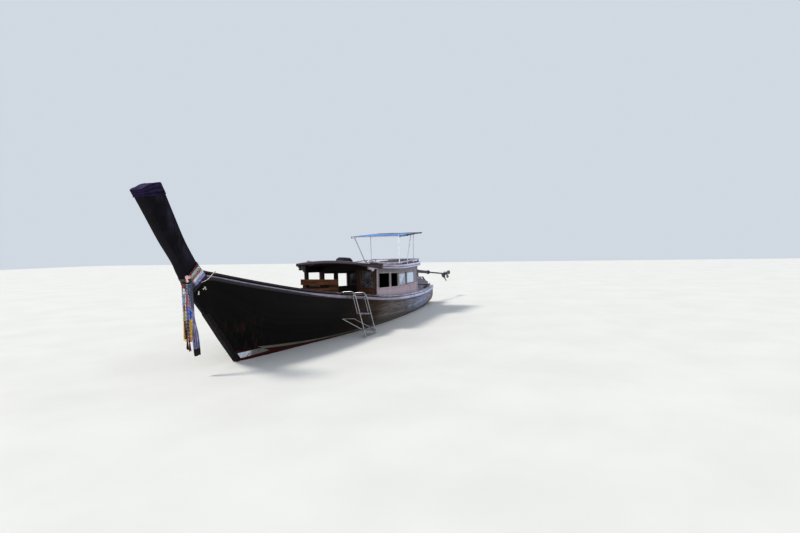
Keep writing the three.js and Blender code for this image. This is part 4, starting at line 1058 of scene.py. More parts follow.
def roof_colour(point, board):
    x, y, z = point.xyz()
    own, joint, side = plank_tones(point, board, 2.7)
    streak = point.scaled(0.5, 9, 4).cloud(3, 7, 0.65)
    patch = point.cloud(1.6, 6, 0.6, 0.4)
    grey = streak.rise(0.28, 0.72).blend((0.16, 0.145, 0.165), (0.36, 0.335, 0.37))
    colour = (patch.rise(0.5, 0.62) * 0.7).blend(grey, (0.26, 0.19, 0.175))
    colour = (own * 0.3).blend(colour, (0.1, 0.08, 0.085))
    gap = side.rise(0, 0.04) * side.rise(1, 0.96) * joint
    colour = ((1 - gap) * 0.7).blend(colour, (0.04, 0.035, 0.035))
    return {"colour": colour, "relief": streak * 0.4 + gap * 0.7, "rough": 0.78}


roof_paint = finish("roof_paint", roof_colour, depth=0.003)
roof = keep("roof_planks", roof_plate(), roof_paint)
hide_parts("roof_boards")


def edge_profile(x):
    """Moulded section of the edge board: how far out, and height from the roof's edge"""
    drop = broken(FASCIA_LOW, x)
    head = [(0.0, 0.010), (0.018, 0.011), (0.029, 0.004)]
    mould = [(0.030, -0.012), (0.022, -0.020), (0.017, -0.03), (0.018, -0.044), (0.026, -0.052),
             (0.029, -0.062), (0.024, -0.072), (0.014, -0.078), (0.012, -0.09)]
    foot = [(0.018, -drop + 0.012), (0.014, -drop), (0.0, -drop)]
    return head + [(a, b * drop / 0.112) for a, b in mould] + foot


def joined(name, parts, angle):
    """One mesh of several, with smooth shading"""
    bm = bmesh.new()
    for part in parts:
        bm.from_mesh(part)
        bpy.data.meshes.remove(part)
    mesh = bpy.data.meshes.new(name)
    bm.to_mesh(mesh)
    bm.free()
    return soften(mesh, angle)


def roof_edging():
    """The board along both sides, and over the two crowned ends"""
    parts = []
    for _, side in SIDES:
        rings, boards = [], []
        for x in spaced(-3.88, 1.2, 0.125):
            base, profile = roof_half(x) - FASCIA, edge_profile(x)
            rings.append([(x, side * (base + a), roof_edge(x) + b) for a, b in profile])
            boards.append([(x, b / profile[-1][1]) for a, b in profile])
        parts.append(skin(rings, boards=boards))
    for x_end, out in ((1.2, 1), (-3.88, -1)):
        rings, boards = [], []
        half, profile = roof_half(x_end), edge_profile(x_end)
        for y in spaced(-half, half, 0.09):
            edge = roof_edge(x_end) + ROOF_CAMBER * (1 - (y / half) ** 2)
            rings.append([(x_end + out * (a - FASCIA), y, edge + b) for a, b in profile])
            boards.append([(y, b / profile[-1][1]) for a, b in profile])
        parts.append(skin(rings, boards=boards))
    return joined("roof_edging", parts, 40)


def edging_colour(point, board):
    x, y, z = point.xyz()
    pale = weathered((0.3, 0.275, 0.35), (0.62, 0.58, 0.68), (0.2, 0.15, 0.16), 0.55, "x")(point, board)
    patch = point.cloud(3, 5, 0.6)
    streak = point.scaled(0.6, 9, 9).cloud(3, 7, 0.65)
    dark = streak.rise(0.3, 0.75).blend((0.012, 0.007, 0.007), (0.06, 0.03, 0.024))
    fore = (x + (patch - 0.5) * 0.2).rise(-0.26, -0.04)
    from_edge = z - x.rise(-1.7, 1.2, 1.6, 1.737)
    colour = fore.blend(pale["colour"], dark)
    # Painted highlight: a lilac band along the top of the dark fore end of the edging
    colour = (from_edge.rise(-0.012, 0.0) * fore * 0.5).blend(colour, (0.24, 0.2, 0.25))
    colour = (x.rise(-0.8, -2.8) * 0.7).blend(colour, (0.8, 0.82, 1.0))
    red = x.band(0.1, 0.9, 0.12) * from_edge.band(-0.085, -0.05, 0.012)
    colour = (red * 0.6).blend(colour, (0.2, 0.055, 0.03))
    _, down, _ = board.xyz()
    # Painted shade in the moulding's groove
    groove = down.band(0.42, 0.6, 0.05)
    colour = (groove * 0.85).blend(colour, (0.07, 0.065, 0.085))
    # Painted shade along the foot of the board
    colour = (down.rise(0.93, 0.97) * 0.8).blend(colour, (0.05, 0.045, 0.06))
    return {**pale, "colour": colour, "relief": pale["relief"] - groove}


edging_paint = finish("edging_paint", edging_colour)
edging = keep("roof_edging", roof_edging(), edging_paint)
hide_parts("roof_fascia")


def knee_colour(point, board):
    x, y, z = point.xyz()
    got = weathered((0.3, 0.27, 0.34), (0.6, 0.56, 0.65), (0.24, 0.15, 0.14), 0.6)(point, board)
    shaded = y.rise(0.0, 0.1).blend((0.17, 0.14, 0.15), (0.06, 0.04, 0.04))
    return {**got, "colour": x.rise(0.62, 0.95).blend(got["colour"], shaded)}


knee_paint = finish("knee_paint", knee_colour)
dress(knee_paint, "knee_port", "knee_starboard", ease=0.005)
# Shaped bracket on the starboard post: x, z
BRACKET = [(0.9125, 1.49), (0.96, 1.505), (1.03, 1.555), (1.09, 1.625), (1.09, 1.68), (0.9125, 1.665)]
bracket = skin([[(x, y, z) for x, z in BRACKET] for y in (-0.872, -0.842)])
keep("post_bracket", soften(bracket), knee_paint)

# Wing boards
# Long tapered boards from the cabin's after corners down to the gunwales, three planks edge to
# edge, pale violet, with a black line of painted shade near the foot, where the gap above the
# gunwale is, and a darker upper edge.


def wing_colour(point, board):
    x, y, z = point.xyz()
    got = weathered((0.12, 0.11, 0.155), (0.3, 0.275, 0.35), (0.11, 0.08, 0.088), 0.5, "x")(point, board)
    level = z - x * 0.0762
    # The black line near the foot is painted shade: the gap above the gunwale
    dark = level.band(1.125, 1.172, 0.006)
    edge = (z - x * 0.163).rise(1.755, 1.77)
    colour = (dark * 0.95).blend(got["colour"], (0.012, 0.01, 0.014))
    colour = (edge * 0.7).blend(colour, (0.1, 0.085, 0.11))
    seam = (level.band(1.232, 1.246, 0.003) + level.band(1.296, 1.31, 0.003)) * 0.85
    colour = seam.blend(colour, (0.04, 0.032, 0.045))
    return {**got, "colour": colour, "relief": got["relief"] - seam}


dress(finish("wing_paint", wing_colour, depth=0.003), "stern_wing_port", "stern_wing_starboard", ease=0.005)

# Roof railing
# A low rail of planed wood on short posts round the after part of the roof, with dark kick
# boards between the posts, and low boards of the same dark paint on the gunwales at the stern that
# stand for the band of shade there.
RAIL_POSTS = [0.68, 0.06, -0.56, -1.18, -1.8, -2.42, -3.08, -3.79]
RAIL_TOP = [(-3.8, 0.128), (-3.0, 0.122), (-2.3, 0.106), (-1.6, 0.084), (-0.75, 0.062), (0, 0.064),
            (0.72, 0.118)]


def rail_y(x):
    return roof_half(x) - 0.06


def rail_z(x):
    return roof_edge(x) + along(RAIL_TOP, x)


def rail_post(x, y, wide, deep):
    return upright(x, y, roof_top(x, y) + 0.0005, rail_z(x) - 0.02, wide, deep)


sticks, kicks, shadow_boards = [], [], []
for _, side in SIDES:
    sticks += [rail_post(x, side * rail_y(x), 0.05, 0.034) for x in RAIL_POSTS]
    xs = spaced(RAIL_POSTS[0] + 0.024, RAIL_POSTS[-1] - 0.024, 0.31)
    for a, b in zip(xs, xs[1:]):
        ends = [(x, side * rail_y(x), rail_z(x) - 0.015) for x in (a + 0.002, b - 0.002)]
        sticks.append((*ends, (0, 0.05, 0), (0, 0, 0.03)))
    for a, b in zip(RAIL_POSTS, RAIL_POSTS[1:]):
        ends = [(x, side * rail_y(x), roof_top(x, rail_y(x)) + 0.019) for x in (a - 0.02, b + 0.02)]
        kicks.append((*ends, (0, 0.016, 0), (0, 0, 0.032)))
    # Low dark boards on the stern gunwales: painted shade, standing for the band of shadow there
    xs = spaced(-4.95, -6.15, 0.3)
    for a, b in zip(xs, xs[1:]):
        ends = [(x, side * (half_beam(x) - 0.12), cap_top(x) + 0.033) for x in (a, b)]
        shadow_boards.append((*ends, (0, 0.024, 0), (0, 0, 0.066)))
x = RAIL_POSTS[-1]
ends = [(x, y, rail_z(x) - 0.019) for y in (-rail_y(x), rail_y(x))]
sticks.append((*ends, (0.048, 0, 0), (0, 0, 0.034)))
sticks += [rail_post(x, y, 0.046, 0.036) for y in (-0.28, 0.28)]
railing_paint = finish("railing_paint", weathered((0.36, 0.33, 0.4), (0.68, 0.64, 0.72),
                                                  (0.22, 0.16, 0.16), run="x"))
railing = timbers("roof_rail", sticks, railing_paint, ease=0.005)
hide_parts("roof_railing")
kick_paint = finish("kick_paint", weathered((0.02, 0.016, 0.02), (0.16, 0.14, 0.17),
                                            (0.08, 0.05, 0.045), 0.4, "x"))
timbers("kick_boards", kicks, kick_paint, ease=0.002)
timbers("quarter_shade_boards", shadow_boards, kick_paint)

# Canopy frame
# White-painted steel tube: four hoops across, two long tubes, and legs with feet screwed to the
# roof. Short sleeves cover the welded joints.
CANOPY_HALF = 0.82
CANOPY_LINE = [(-4.18, 2.64), (-3.4, 2.597), (-2.7, 2.552), (-1.92, 2.502)]
CANOPY_HOOPS = (-4.14, -3.35, -2.7, -1.96)
# side, foot x, foot y, head x
CANOPY_LEGS = [(1, -1.955, 0.79, -1.965), (1, -2.64, 0.79, -3.1), (1, -3.35, 0.77, -3.36),
               (-1, -2.9, 0.77, -2.06), (-1, -3.35, 0.77, -3.36)]
CANOPY_TUBE = 0.019


def round_angles(count):
    return [2 * math.pi * k / count for k in range(count)]


def tubes(name, runs, material, body="hull", sides=14):
    """Round tubes as one piece. A run is its points and its radius, or a radius at each point."""
    parts = []
    for points, radius in runs:
        pts = [Vector(p) for p in points]
        sizes = radius if isinstance(radius, list) else [radius] * len(pts)
        side_way = (pts[1] - pts[0]).normalized().orthogonal()
        rings = []
        for i, p in enumerate(pts):
            way = (pts[min(i + 1, len(pts) - 1)] - pts[max(i - 1, 0)]).normalized()
            side_way = (side_way - way * side_way.dot(way)).normalized()
            up = way.cross(side_way)
            rings.append([p + (side_way * math.cos(a) + up * math.sin(a)) * sizes[i]
                          for a in round_angles(sides)])
        parts.append(skin(rings))
    return keep(name, joined(name, parts, 50), material, body)


def canopy_z(x):
    return broken(CANOPY_LINE, x)


def tube_colour(point, board):
    patch = point.cloud(9, 5, 0.6)
    rust = (point.cloud(24, 5, 0.7) * 0.6 + patch * 0.4).rise(0.6, 0.66)
    colour = patch.rise(0.3, 0.7).blend((0.62, 0.64, 0.66), (0.82, 0.83, 0.84))
    return {"colour": (rust * 0.8).blend(colour, (0.25, 0.11, 0.05)), "relief": rust * -1.0,
            "rough": rust.rise(0, 1, 0.35, 0.85)}


tube_paint = finish("tube_paint", tube_colour, depth=0.001)


def on_frame(x, y):
    """A place in the middle of the frame's tubes"""
    return x, y, canopy_z(x) - CANOPY_TUBE


runs = []
edge_y = CANOPY_HALF - 0.04
for side, foot_x, foot_y, head_x in CANOPY_LEGS:
    foot = Vector((foot_x, side * foot_y, roof_top(foot_x, foot_y) + 0.001))
    head = Vector(on_frame(head_x, side * edge_y)) - Vector((0, 0, 0.004))
    runs += [((foot, head), CANOPY_TUBE * 0.92), ((foot, foot + Vector((0, 0, 0.006))), 0.044),
             ((foot, foot.lerp(head, 0.05)), CANOPY_TUBE * 1.25),
             ((head.lerp(foot, 0.06), head.lerp(foot, 0.005)), CANOPY_TUBE * 1.2)]
for _, side in SIDES:
    runs.append(([on_frame(x, side * edge_y) for x in spaced(-4.15, -1.95, 0.2)], CANOPY_TUBE))
for x in CANOPY_HOOPS:
    runs.append(((on_frame(x, -edge_y), on_frame(x, edge_y)), CANOPY_TUBE * 0.96))
    for _, side in SIDES:
        end = Vector(on_frame(x, side * edge_y))
        runs.append(((end - Vector((0.03, 0, 0)), end + Vector((0.03, 0, 0))), CANOPY_TUBE * 1.16))
canopy_tubes = tubes("canopy_tubes", runs, tube_paint)
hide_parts("canopy_frame")

# Canopy sheet
# One piece of blue coated cloth over the frame, hemmed, laced to the side tubes through brass
# eyelets. It dips a little between the hoops and hangs over both sides.


def canopy_cloth():
    half = CANOPY_HALF
    drape = [(-half - 0.002, -0.056), (-half - 0.005, -0.033), (-half + 0.001, -0.008)]
    flat = [(y, None) for y in spaced(-half + 0.03, half - 0.03, 0.07)]
    columns = drape + flat + [(-y, drop) for y, drop in drape[::-1]]
    rings = []
    for x in spaced(-4.172, -1.925, 0.06):
        i = max(k for k in range(3) if x >= CANOPY_HOOPS[k] or k == 0)
        t = min(max((x - CANOPY_HOOPS[i]) / (CANOPY_HOOPS[i + 1] - CANOPY_HOOPS[i]), 0), 1)
        dip = math.sin(math.pi * t) ** 0.8
        lace = 0.006 * math.sin((x + 4.17) / 0.32 * 2 * math.pi)
        shorter = 1 - 0.4 * min(max((-2.6 - x) / 0.8, 0), 1)
        row = []
        for y, drop in columns:
            z = canopy_z(x) + 0.003
            if drop is None:
                z -= 0.016 * dip * math.cos(y / half * math.pi / 2) ** 0.6
                z += 0.0025 * math.sin(x * 17 + y * 6) + 0.002 * math.sin(x * 41 - y * 11)
                row.append((x, y, z))
            else:
                sway = 0.004 * math.sin(x * 23) if drop < -0.02 else 0
                low = z + drop * shorter + (lace if drop < -0.05 else 0)
                row.append((x + drop * 0.1 * math.sin(x * 9), y + sway, low))
        rings.append(row)
    return soften(skin(rings, closed=False, caps=False), 60)


def thicken(piece, thickness, outwards=1):
    """Give a cloth its thickness, outwards (1) or to both sides (0)"""
    layer = piece.modifiers.new("cloth_thickness", "SOLIDIFY")
    layer.thickness = thickness
    layer.offset = outwards


def canopy_colour(point, board):
    x, y, z = point.xyz()
    cloud = point.cloud(1.7, 5, 0.6)
    crease = point.scaled(3, 0.7, 1).cloud(4, 6, 0.6)
    weave = (x * 900).sum("SINE") * (y * 900).sum("SINE")
    colour = cloud.rise(0.25, 0.75).blend((0.025, 0.14, 0.42), (0.07, 0.27, 0.64))
    colour = (crease.rise(0.55, 0.75) * 0.4).blend(colour, (0.2, 0.42, 0.74))
    colour = (x.rise(-2.5, -2.9) * cloud.rise(0.3, 0.6) * 0.55).blend(colour, (0.42, 0.42, 0.55))
    # Painted shade: towards the aft end the sheet is darkened almost to black
    colour = (x.rise(-3.1, -3.5) * 0.85).blend(colour, (0.03, 0.03, 0.06))
    # Painted shade on the hanging sides: dark grey blue forward, almost black aft
    hem = (y.sum("ABSOLUTE") - 0.79).rise(0, 0.004)
    fade_and_shade = x.rise(-2.2, -2.7).blend((0.16, 0.24, 0.34), (0.016, 0.016, 0.024))
    colour = (hem * 0.9).blend(colour, fade_and_shade)
    return {"colour": colour, "relief": crease * 0.6 + weave * 0.05,
            "rough": cloud.rise(0.2, 0.8, 0.45, 0.65)}


canopy_fabric = finish("canopy_fabric", canopy_colour, depth=0.004)
canopy = keep("canopy_cloth", canopy_cloth(), canopy_fabric)
thicken(canopy, 0.0016)
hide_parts("canopy_sheet")

# Bench
# Hardwood seat on two trestles, its back two broad planks bolted to the uprights, with a
# varnished board behind the gap between them and a short pale batten on it.
bench_wood = finish("bench_wood", boarded((0.042, 0.015, 0.006), (0.14, 0.056, 0.022), 0.4, "z", "y",
                    (0.2, 0.09, 0.045), 0.35, 0.6, 4.0), shine=0.2)
dress(bench_wood, "bench", ease=0.006)
backing = ((1.772, -0.43, 1.19), (1.772, 0.565, 1.19), (0.016, 0, 0), (0, 0, 0.084))
timbers("bench_backing", [backing], varnished)
pale_wood = finish("pale_wood", boarded((0.2, 0.13, 0.09), (0.42, 0.3, 0.22), 0.4, "z", "y"), depth=0.001)
batten = ((1.79, -0.225, 1.214), (1.79, 0.065, 1.208), (0.018, 0, 0), (0, 0, 0.03))
timbers("bench_batten", [batten], pale_wood, ease=0.002)

# Cloth cap on the prow
# Dark violet cloth laid over the slanting top of the post, pulled down on all sides and tied
# round with a cord. Its hem flares in folds below the cord.
CAP_LOW = [(6.6, 3.07), (6.7, 3.052), (7.05, 2.985), (7.26, 2.945), (7.45, 2.985)]


def points_at(line, distances):
    """The points that lie this far along a line"""
    out, i, gone = [], 0, 0.0
    for want in distances:
        while gone + (line[i + 1] - line[i]).length < want:
            gone += (line[i + 1] - line[i]).length
            i += 1
        out.append(line[i].lerp(line[i + 1], (want - gone) / (line[i + 1] - line[i]).length))
    return out


def round_post(z, count):
    """Evenly spaced points round the prow post, for height z"""
    pts = [Vector((*p, 0)) for p in prow_ring(z)]
    total = run_length([*pts, pts[0]])
    return points_at([*pts, pts[0]], [total * k / count for k in range(count)])


def prow_cap():
    count = 72
    angles = round_angles(count)
    known, rings = {}, []

    def post_ring(z):
        key = round(z, 3)
        if key not in known:
            known[key] = round_post(z, count)
        return known[key]
    for t in (0, 0.06, 0.12, 0.17, 0.21, 0.25, 0.3, 0.4, 0.5, 0.6, 0.7, 0.8, 0.88, 0.95, 1.0):
        row = []
        for k, a in enumerate(angles):
            z = 3.05
            for _ in range(4):
                p = post_ring(z)[k]
                z = broken(CAP_LOW, p.x) * (1 - t) + (top_at(p.x) + 0.004) * t
            middle = sum(post_ring(z), Vector()) / count
            fold = math.sin(11 * a + 1.5 * math.sin(3 * a)) * 0.5 + math.sin(23 * a + 2) * 0.25
            sway = math.sin(5 * a + 9 * t) * 0.5 + math.sin(8 * a - 14 * t) * 0.3
            loose = 1 - math.exp(-((t - 0.21) / 0.05) ** 2)
            off = 0.005 + (0.007 + 0.008 * fold) * max(0, 1 - t / 0.2) + (0.004 + 0.003 * sway) * loose
            out = (p - middle).normalized()
            row.append((p.x + out.x * off, p.y + out.y * off, z + (0.004 * sway if 0.3 < t < 0.99 else 0)))
        rings.append(row)
    edge = [Vector(p) for p in rings[-1]]
    heart = sum(edge, Vector()) / count
    for share in (0.93, 0.8, 0.6, 0.35, 0.12):
        row = []
        for a, p in zip(angles, edge):
            q = heart.lerp(p, share)
            crease = 0.003 * math.sin(4 * a + 6 * share) + 0.002 * math.sin(9 * a)
            row.append((q.x, q.y, top_at(q.x) + 0.013 + crease * share))
        rings.append(row)
    mesh = skin(rings, caps=False)
    bm = bmesh.new()
    bm.from_mesh(mesh)
    hole = [e for e in bm.edges if e.is_boundary and e.verts[0].co.z > 3.12
            and (e.verts[0].co.xy - heart.xy).length < 0.05]
    bmesh.ops.holes_fill(bm, edges=hole, sides=0)
    bm.to_mesh(mesh)
    bm.free()
    return soften(mesh, 70)


def cloth_colour(dark, light, stripe=None, weave=700, fore_shade=0.0):
    def mix(point, board):
        x, y, z = point.xyz()
        patch = point.cloud(9, 5, 0.6)
        fold = point.scaled(1, 1, 0.6).cloud(30, 4, 0.6)
        threads = (x * weave).sum("SINE") * (z * weave).sum("SINE") + (y * weave).sum("SINE") * 0.4
        colour = (patch * 0.6 + fold * 0.4).rise(0.35, 0.65).blend(dark, light)
        if stripe:
            u, v, _ = board.xyz()
            colour = stripe(u, v, colour)
        # Painted shade: the fore side of the neck's cloth is darkened almost to black
        if fore_shade:
            ahead = x * 0.731 - z * 0.682 - 3.373 + (patch - 0.5) * 0.06
            colour = (ahead.rise(0.07, 0.13) * fore_shade).blend(colour, (0.014, 0.009, 0.009))
        return {"colour": colour, "relief": fold * 0.5 + threads * 0.05,
                "rough": patch.rise(0.2, 0.8, 0.75, 0.95)}
    return mix


def cap_colour(point, board):
    """Dark violet; the folds run out from the lower fore corner, where the cloth is pulled tight, and their
    ridges are painted lighter as a painted sheen
    """
    x, y, z = point.xyz()
    got = cloth_colour((0.008, 0.005, 0.02), (0.026, 0.017, 0.055))(point, board)
    way = (z - 2.94).sum("ARCTAN2", 7.5 - x) + point.cloud(5, 3) * 0.12
    fold = (way * 46).sum("SINE")
    # The fold ridges are lightened: a painted sheen
    colour = (fold.rise(0.2, 1) * 0.5).blend(got["colour"], (0.06, 0.042, 0.12))
    return {**got, "colour": colour, "relief": got["relief"] + fold * 0.8}


cap_cloth = finish("cap_cloth", cap_colour, depth=0.006, shine=0.15)
cap = keep("prow_cap", prow_cap(), cap_cloth)
thicken(cap, 0.002)
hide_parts("prow_cap_cloth")
tie_ring = []
for p in round_post(3.05, 40):
    z = broken(CAP_LOW, p.x) * 0.79 + top_at(p.x) * 0.21
    tie_ring.append((p.x + (p.x - 7.03) * 0.06 + (z - 3.05) * 0.7, p.y * 1.075, z))
tubes("cap_tie", [(tie_ring + [tie_ring[0]], 0.004)], cap_cloth, sides=8)

# Sashes round the neck
# Six silk and cotton sashes, each folded to a band and wound once round the neck of the prow,
# square to its rake, darkened in front with painted shade, with their ends knotted on the port side.
NECK_MIDDLE = Vector((6.172, 0, 1.67))
NECK_UP = Vector((math.sin(math.radians(43)), 0, math.cos(math.radians(43))))
NECK_FORE = Vector((math.cos(math.radians(43)), 0, -math.sin(math.radians(43))))


def inside_post(p, grow):
    z = min(max(p.z, 1.011), 3.2)
    aft, fore, wa, wf = (along(PROW_ROWS, z, k) for k in (1, 2, 3, 4))
    ex = min(p.x - aft + grow, fore + grow - p.x)
    ey = wa + (wf - wa) * (p.x - aft) / (fore - aft) + grow - abs(p.y)
    return ex >= 0 and ey >= 0 and ex + ey >= 0.02 + grow


def neck_point(along_neck, angle, grow):
    """Point at this distance off the post, round its neck"""
    heart = NECK_MIDDLE + NECK_UP * along_neck
    way = NECK_FORE * math.cos(angle) + Vector((0, 1, 0)) * math.sin(angle)
    low, high = 0.0, 0.7
    for _ in range(18):
        mid = (low + high) / 2
        low, high = (mid, high) if inside_post(heart + way * mid, grow) else (low, mid)
    return heart + way * low


def sash(seed, place, half_width, bulk, lift):
    """A band of folded cloth once round the neck"""
    phase = random.Random(seed).uniform(0, 6)
    turns = 64
    rings, boards = [], []
    for k, a in enumerate(round_angles(turns)):
        line = place + 0.008 * math.sin(a + phase) + 0.004 * math.sin(3 * a + phase)
        inner = neck_point(line, a, 0.002 + lift)
        outer = neck_point(line, a, 0.002 + lift + bulk * (1 + 0.9 * max(0, -math.cos(a))))
        middle, out = inner.lerp(outer, 0.5), (outer - inner) / 2
        ring, marks = [], []
        for b in round_angles(16):
            crimp = 1 + 0.16 * math.sin(5 * b + 0.6 * math.sin(4 * a + phase))
            crimp += 0.06 * math.sin(9 * a + 2 * b)
            ring.append(middle + out * math.cos(b) * crimp + NECK_UP * half_width * math.sin(b) * crimp)
            marks.append((k / turns, 0.5 + 0.5 * math.sin(b)))
        rings.append(ring)
        boards.append(marks)
    rings.append(rings[0])
    boards.append([(1.0, v) for u, v in boards[0]])
    mesh = skin(rings, caps=False, boards=boards)
    bm = bmesh.new()
    bm.from_mesh(mesh)
    bpy.data.meshes.remove(mesh)
    bmesh.ops.remove_doubles(bm, verts=bm.verts, dist=0.00005)
    return soften(built("sash", bm), 80)


def striped(colour_a, colour_b, count):
    def stripe(u, v, colour):
        part = (u * count + v * 0.6).sum("FRACT")
        across = (v * 5).sum("FRACT")
        colour = part.rise(0.55, 0.62).blend(colour, colour_a)
        return (across.rise(0.8, 0.88) * 0.8).blend(colour, colour_b)
    return stripe


SASHES = [
    # name, place along the neck, half-width, bulk, lift, dark, light, stripes
    ("rose", 0.133, 0.018, 0.018, 0.0, (0.09, 0.012, 0.03), (0.3, 0.05, 0.09), None),
    ("teal", 0.092, 0.027, 0.02, 0.004, (0.02, 0.11, 0.1), (0.1, 0.3, 0.27),
     striped((0.7, 0.76, 0.7), (0.2, 0.42, 0.36), 46)),
    ("russet", 0.042, 0.031, 0.024, 0.0, (0.1, 0.025, 0.016), (0.28, 0.1, 0.07),
     striped((0.4, 0.14, 0.1), (0.62, 0.4, 0.35), 20)),
    ("white", -0.008, 0.026, 0.03, 0.005, (0.36, 0.38, 0.46), (0.74, 0.75, 0.82), None),
    ("lilac", -0.062, 0.036, 0.03, 0.002, (0.13, 0.12, 0.26), (0.36, 0.35, 0.58),
     striped((0.16, 0.15, 0.34), (0.6, 0.6, 0.8), 12)),
    ("indigo", -0.124, 0.031, 0.022, 0.0, (0.009, 0.006, 0.025), (0.04, 0.025, 0.09), None),
]
for n, (word, place, half_width, bulk, lift, dark, light, stripe) in enumerate(SASHES):
    # 0.85 is the strength of the painted shade on the sashes' fore side
    cloth = finish(f"sash_{word}", cloth_colour(dark, light, stripe, 900, 0.85), depth=0.004, sheen=0.1)
    band = keep(f"sash_{word}", sash(n, place, half_width, bulk, lift), cloth)
    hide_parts("neck_wraps")
    round(half_width * 2.5, 3)


def knot_tail(points, width):
    """A flat strip through points, wider towards its end"""
    pts = smooth_path(points, 5)
    rings = []
    for i, p in enumerate(pts):
        t = i / (len(pts) - 1)
        way = (pts[min(i + 1, len(pts) - 1)] - pts[max(i - 1, 0)]).normalized()
        flat = way.cross(Vector((0.3, 1, 0.1))).normalized()
        up = way.cross(flat)
        wide = (0.010 + 0.016 * t) * width
        rings.append([p + flat * wide * math.cos(b) * (1 + 0.2 * math.sin(3 * b)) + up * 0.004 * math.sin(b)
                      for b in round_angles(12)])
    return skin(rings)


def knot(name, middle, size, seed, tails, material):
    """A cloth knot: a lumpy ball with short tails"""
    rng = random.Random(seed)
    bm = bmesh.new()
    bmesh.ops.create_icosphere(bm, subdivisions=3, radius=1)
    lobes = [Vector([rng.uniform(-1, 1) for _ in range(3)]).normalized() for _ in range(5)]
    for v in bm.verts:
        d = v.co.normalized()
        swell = 0.72 + 0.34 * max(math.cos(3.2 * math.acos(max(-1, min(1, d.dot(q))))) for q in lobes)
        v.co = Vector(middle) + d * Vector(size) * swell
    parts = [built("ball", bm)]
    parts += [knot_tail([middle, *tail], min(1, size[2] / 0.034)) for tail in tails]
    keep(name, joined(name, parts, 80), material)


blush = cloth_colour((0.5, 0.24, 0.24), (0.82, 0.62, 0.6), None, 900)
cream = cloth_colour((0.42, 0.4, 0.3), (0.75, 0.72, 0.6), None, 900)
blush_cloth = finish("blush_cloth", blush, depth=0.003)
cream_cloth = finish("cream_cloth", cream, depth=0.003)
knot("knot_blush", (6.395, 0.118, 1.69), (0.038, 0.024, 0.032), 4,
     [[(6.36, 0.13, 1.68), (6.33, 0.135, 1.705)], [(6.41, 0.128, 1.65), (6.40, 0.135, 1.61)]], blush_cloth)
knot("knot_cream_low", (6.11, 0.100, 1.42), (0.016, 0.012, 0.022), 7,
     [[(6.118, 0.106, 1.40), (6.122, 0.107, 1.375)]], cream_cloth)
knot("knot_cream_high", (5.995, 0.135, 1.49), (0.022, 0.014, 0.02), 9,
     [[(6.02, 0.136, 1.475), (6.045, 0.136, 1.462)], [(5.985, 0.143, 1.47), (5.98, 0.146, 1.452)]],
     cream_cloth)

# Garlands
# Six strings of cloth blossoms and beads tied to the sashes and hanging clear in front of the
# stem, side by side, each string ending in a knot, two with a maroon tassel.
BLOSSOM = 0.0205
BLOSSOM_COLOURS = [(0.14, 0.36, 0.62), (0.62, 0.06, 0.1), (0.01, 0.1, 0.66), (0.72, 0.22, 0.02),
                   (0.75, 0.48, 0.05), (0.16, 0.19, 0.05), (0.09, 0.008, 0.012), (0.78, 0.75, 0.72),
                   (0.32, 0.3, 0.42), (0.03, 0.26, 0.32), (0.3, 0.06, 0.035), (0.4, 0.34, 0.06)]
MAROON = 6
STRINGS = [
    # across, towards the bow, low end, [(height where a colour starts, colour)], tassel
    (-0.066, 0.0, 0.63, [(1.6, 10), (1.45, 9), (1.18, 8), (1.0, 9), (0.95, 4)], False),
    (-0.015, 0.035, 0.61, [(1.6, 10), (1.5, 7), (1.42, 8), (1.22, 10), (1.12, 11), (0.97, 6), (0.66, 4)],
     False),
    (-0.014, -0.006, 0.62, [(1.6, 9), (1.52, 8), (1.38, 0), (1.3, 6), (1.12, 4), (0.97, 6)], True),
    (0.038, 0.035, 0.6, [(1.6, 8), (1.42, 1), (1.2, 2), (0.98, 6)], True),
    (0.038, -0.006, 0.6, [(1.6, 0), (1.5, 7), (1.42, 0), (1.16, 2), (0.97, 4), (0.66, 3)], False),
    (0.088, 0.03, 0.66, [(1.6, 9), (1.5, 0), (1.3, 8), (1.12, 2), (1.0, 4), (0.68, 3)], False),
]


def blossom_colour(point, board):
    u, v, _ = board.xyz()
    count = len(BLOSSOM_COLOURS)
    base = point.add("ShaderNodeValToRGB", {"Fac": v / count})
    bands = base.socket.node.color_ramp
    bands.interpolation = "CONSTANT"
    bands.elements.remove(bands.elements[0])
    for i, colour in enumerate(BLOSSOM_COLOURS):
        band = bands.elements.new(i / count) if i else bands.elements[0]
        band.position = i / count
        band.color = (*colour, 1)
    fine = point.cloud(120, 3)
    colour = (u.grey() * 0.5).blend(base, (0.02, 0.015, 0.02))
    return {"colour": (fine.rise(0.55, 0.75) * 0.3).blend(colour, (0.8, 0.75, 0.7)), "relief": fine}


blossom_cloth = finish("blossom_cloth", blossom_colour, rough=0.85)
string_cloth = finish("string_cloth", cloth_colour((0.1, 0.07, 0.05), (0.3, 0.22, 0.15)), depth=0.001)


def level_ring(middle, radii, turn):
    """Points round a place, one radius for each"""
    return [middle + Vector((math.cos(a + turn), math.sin(a + turn), 0)) * r
            for a, r in zip(round_angles(len(radii)), radii)]


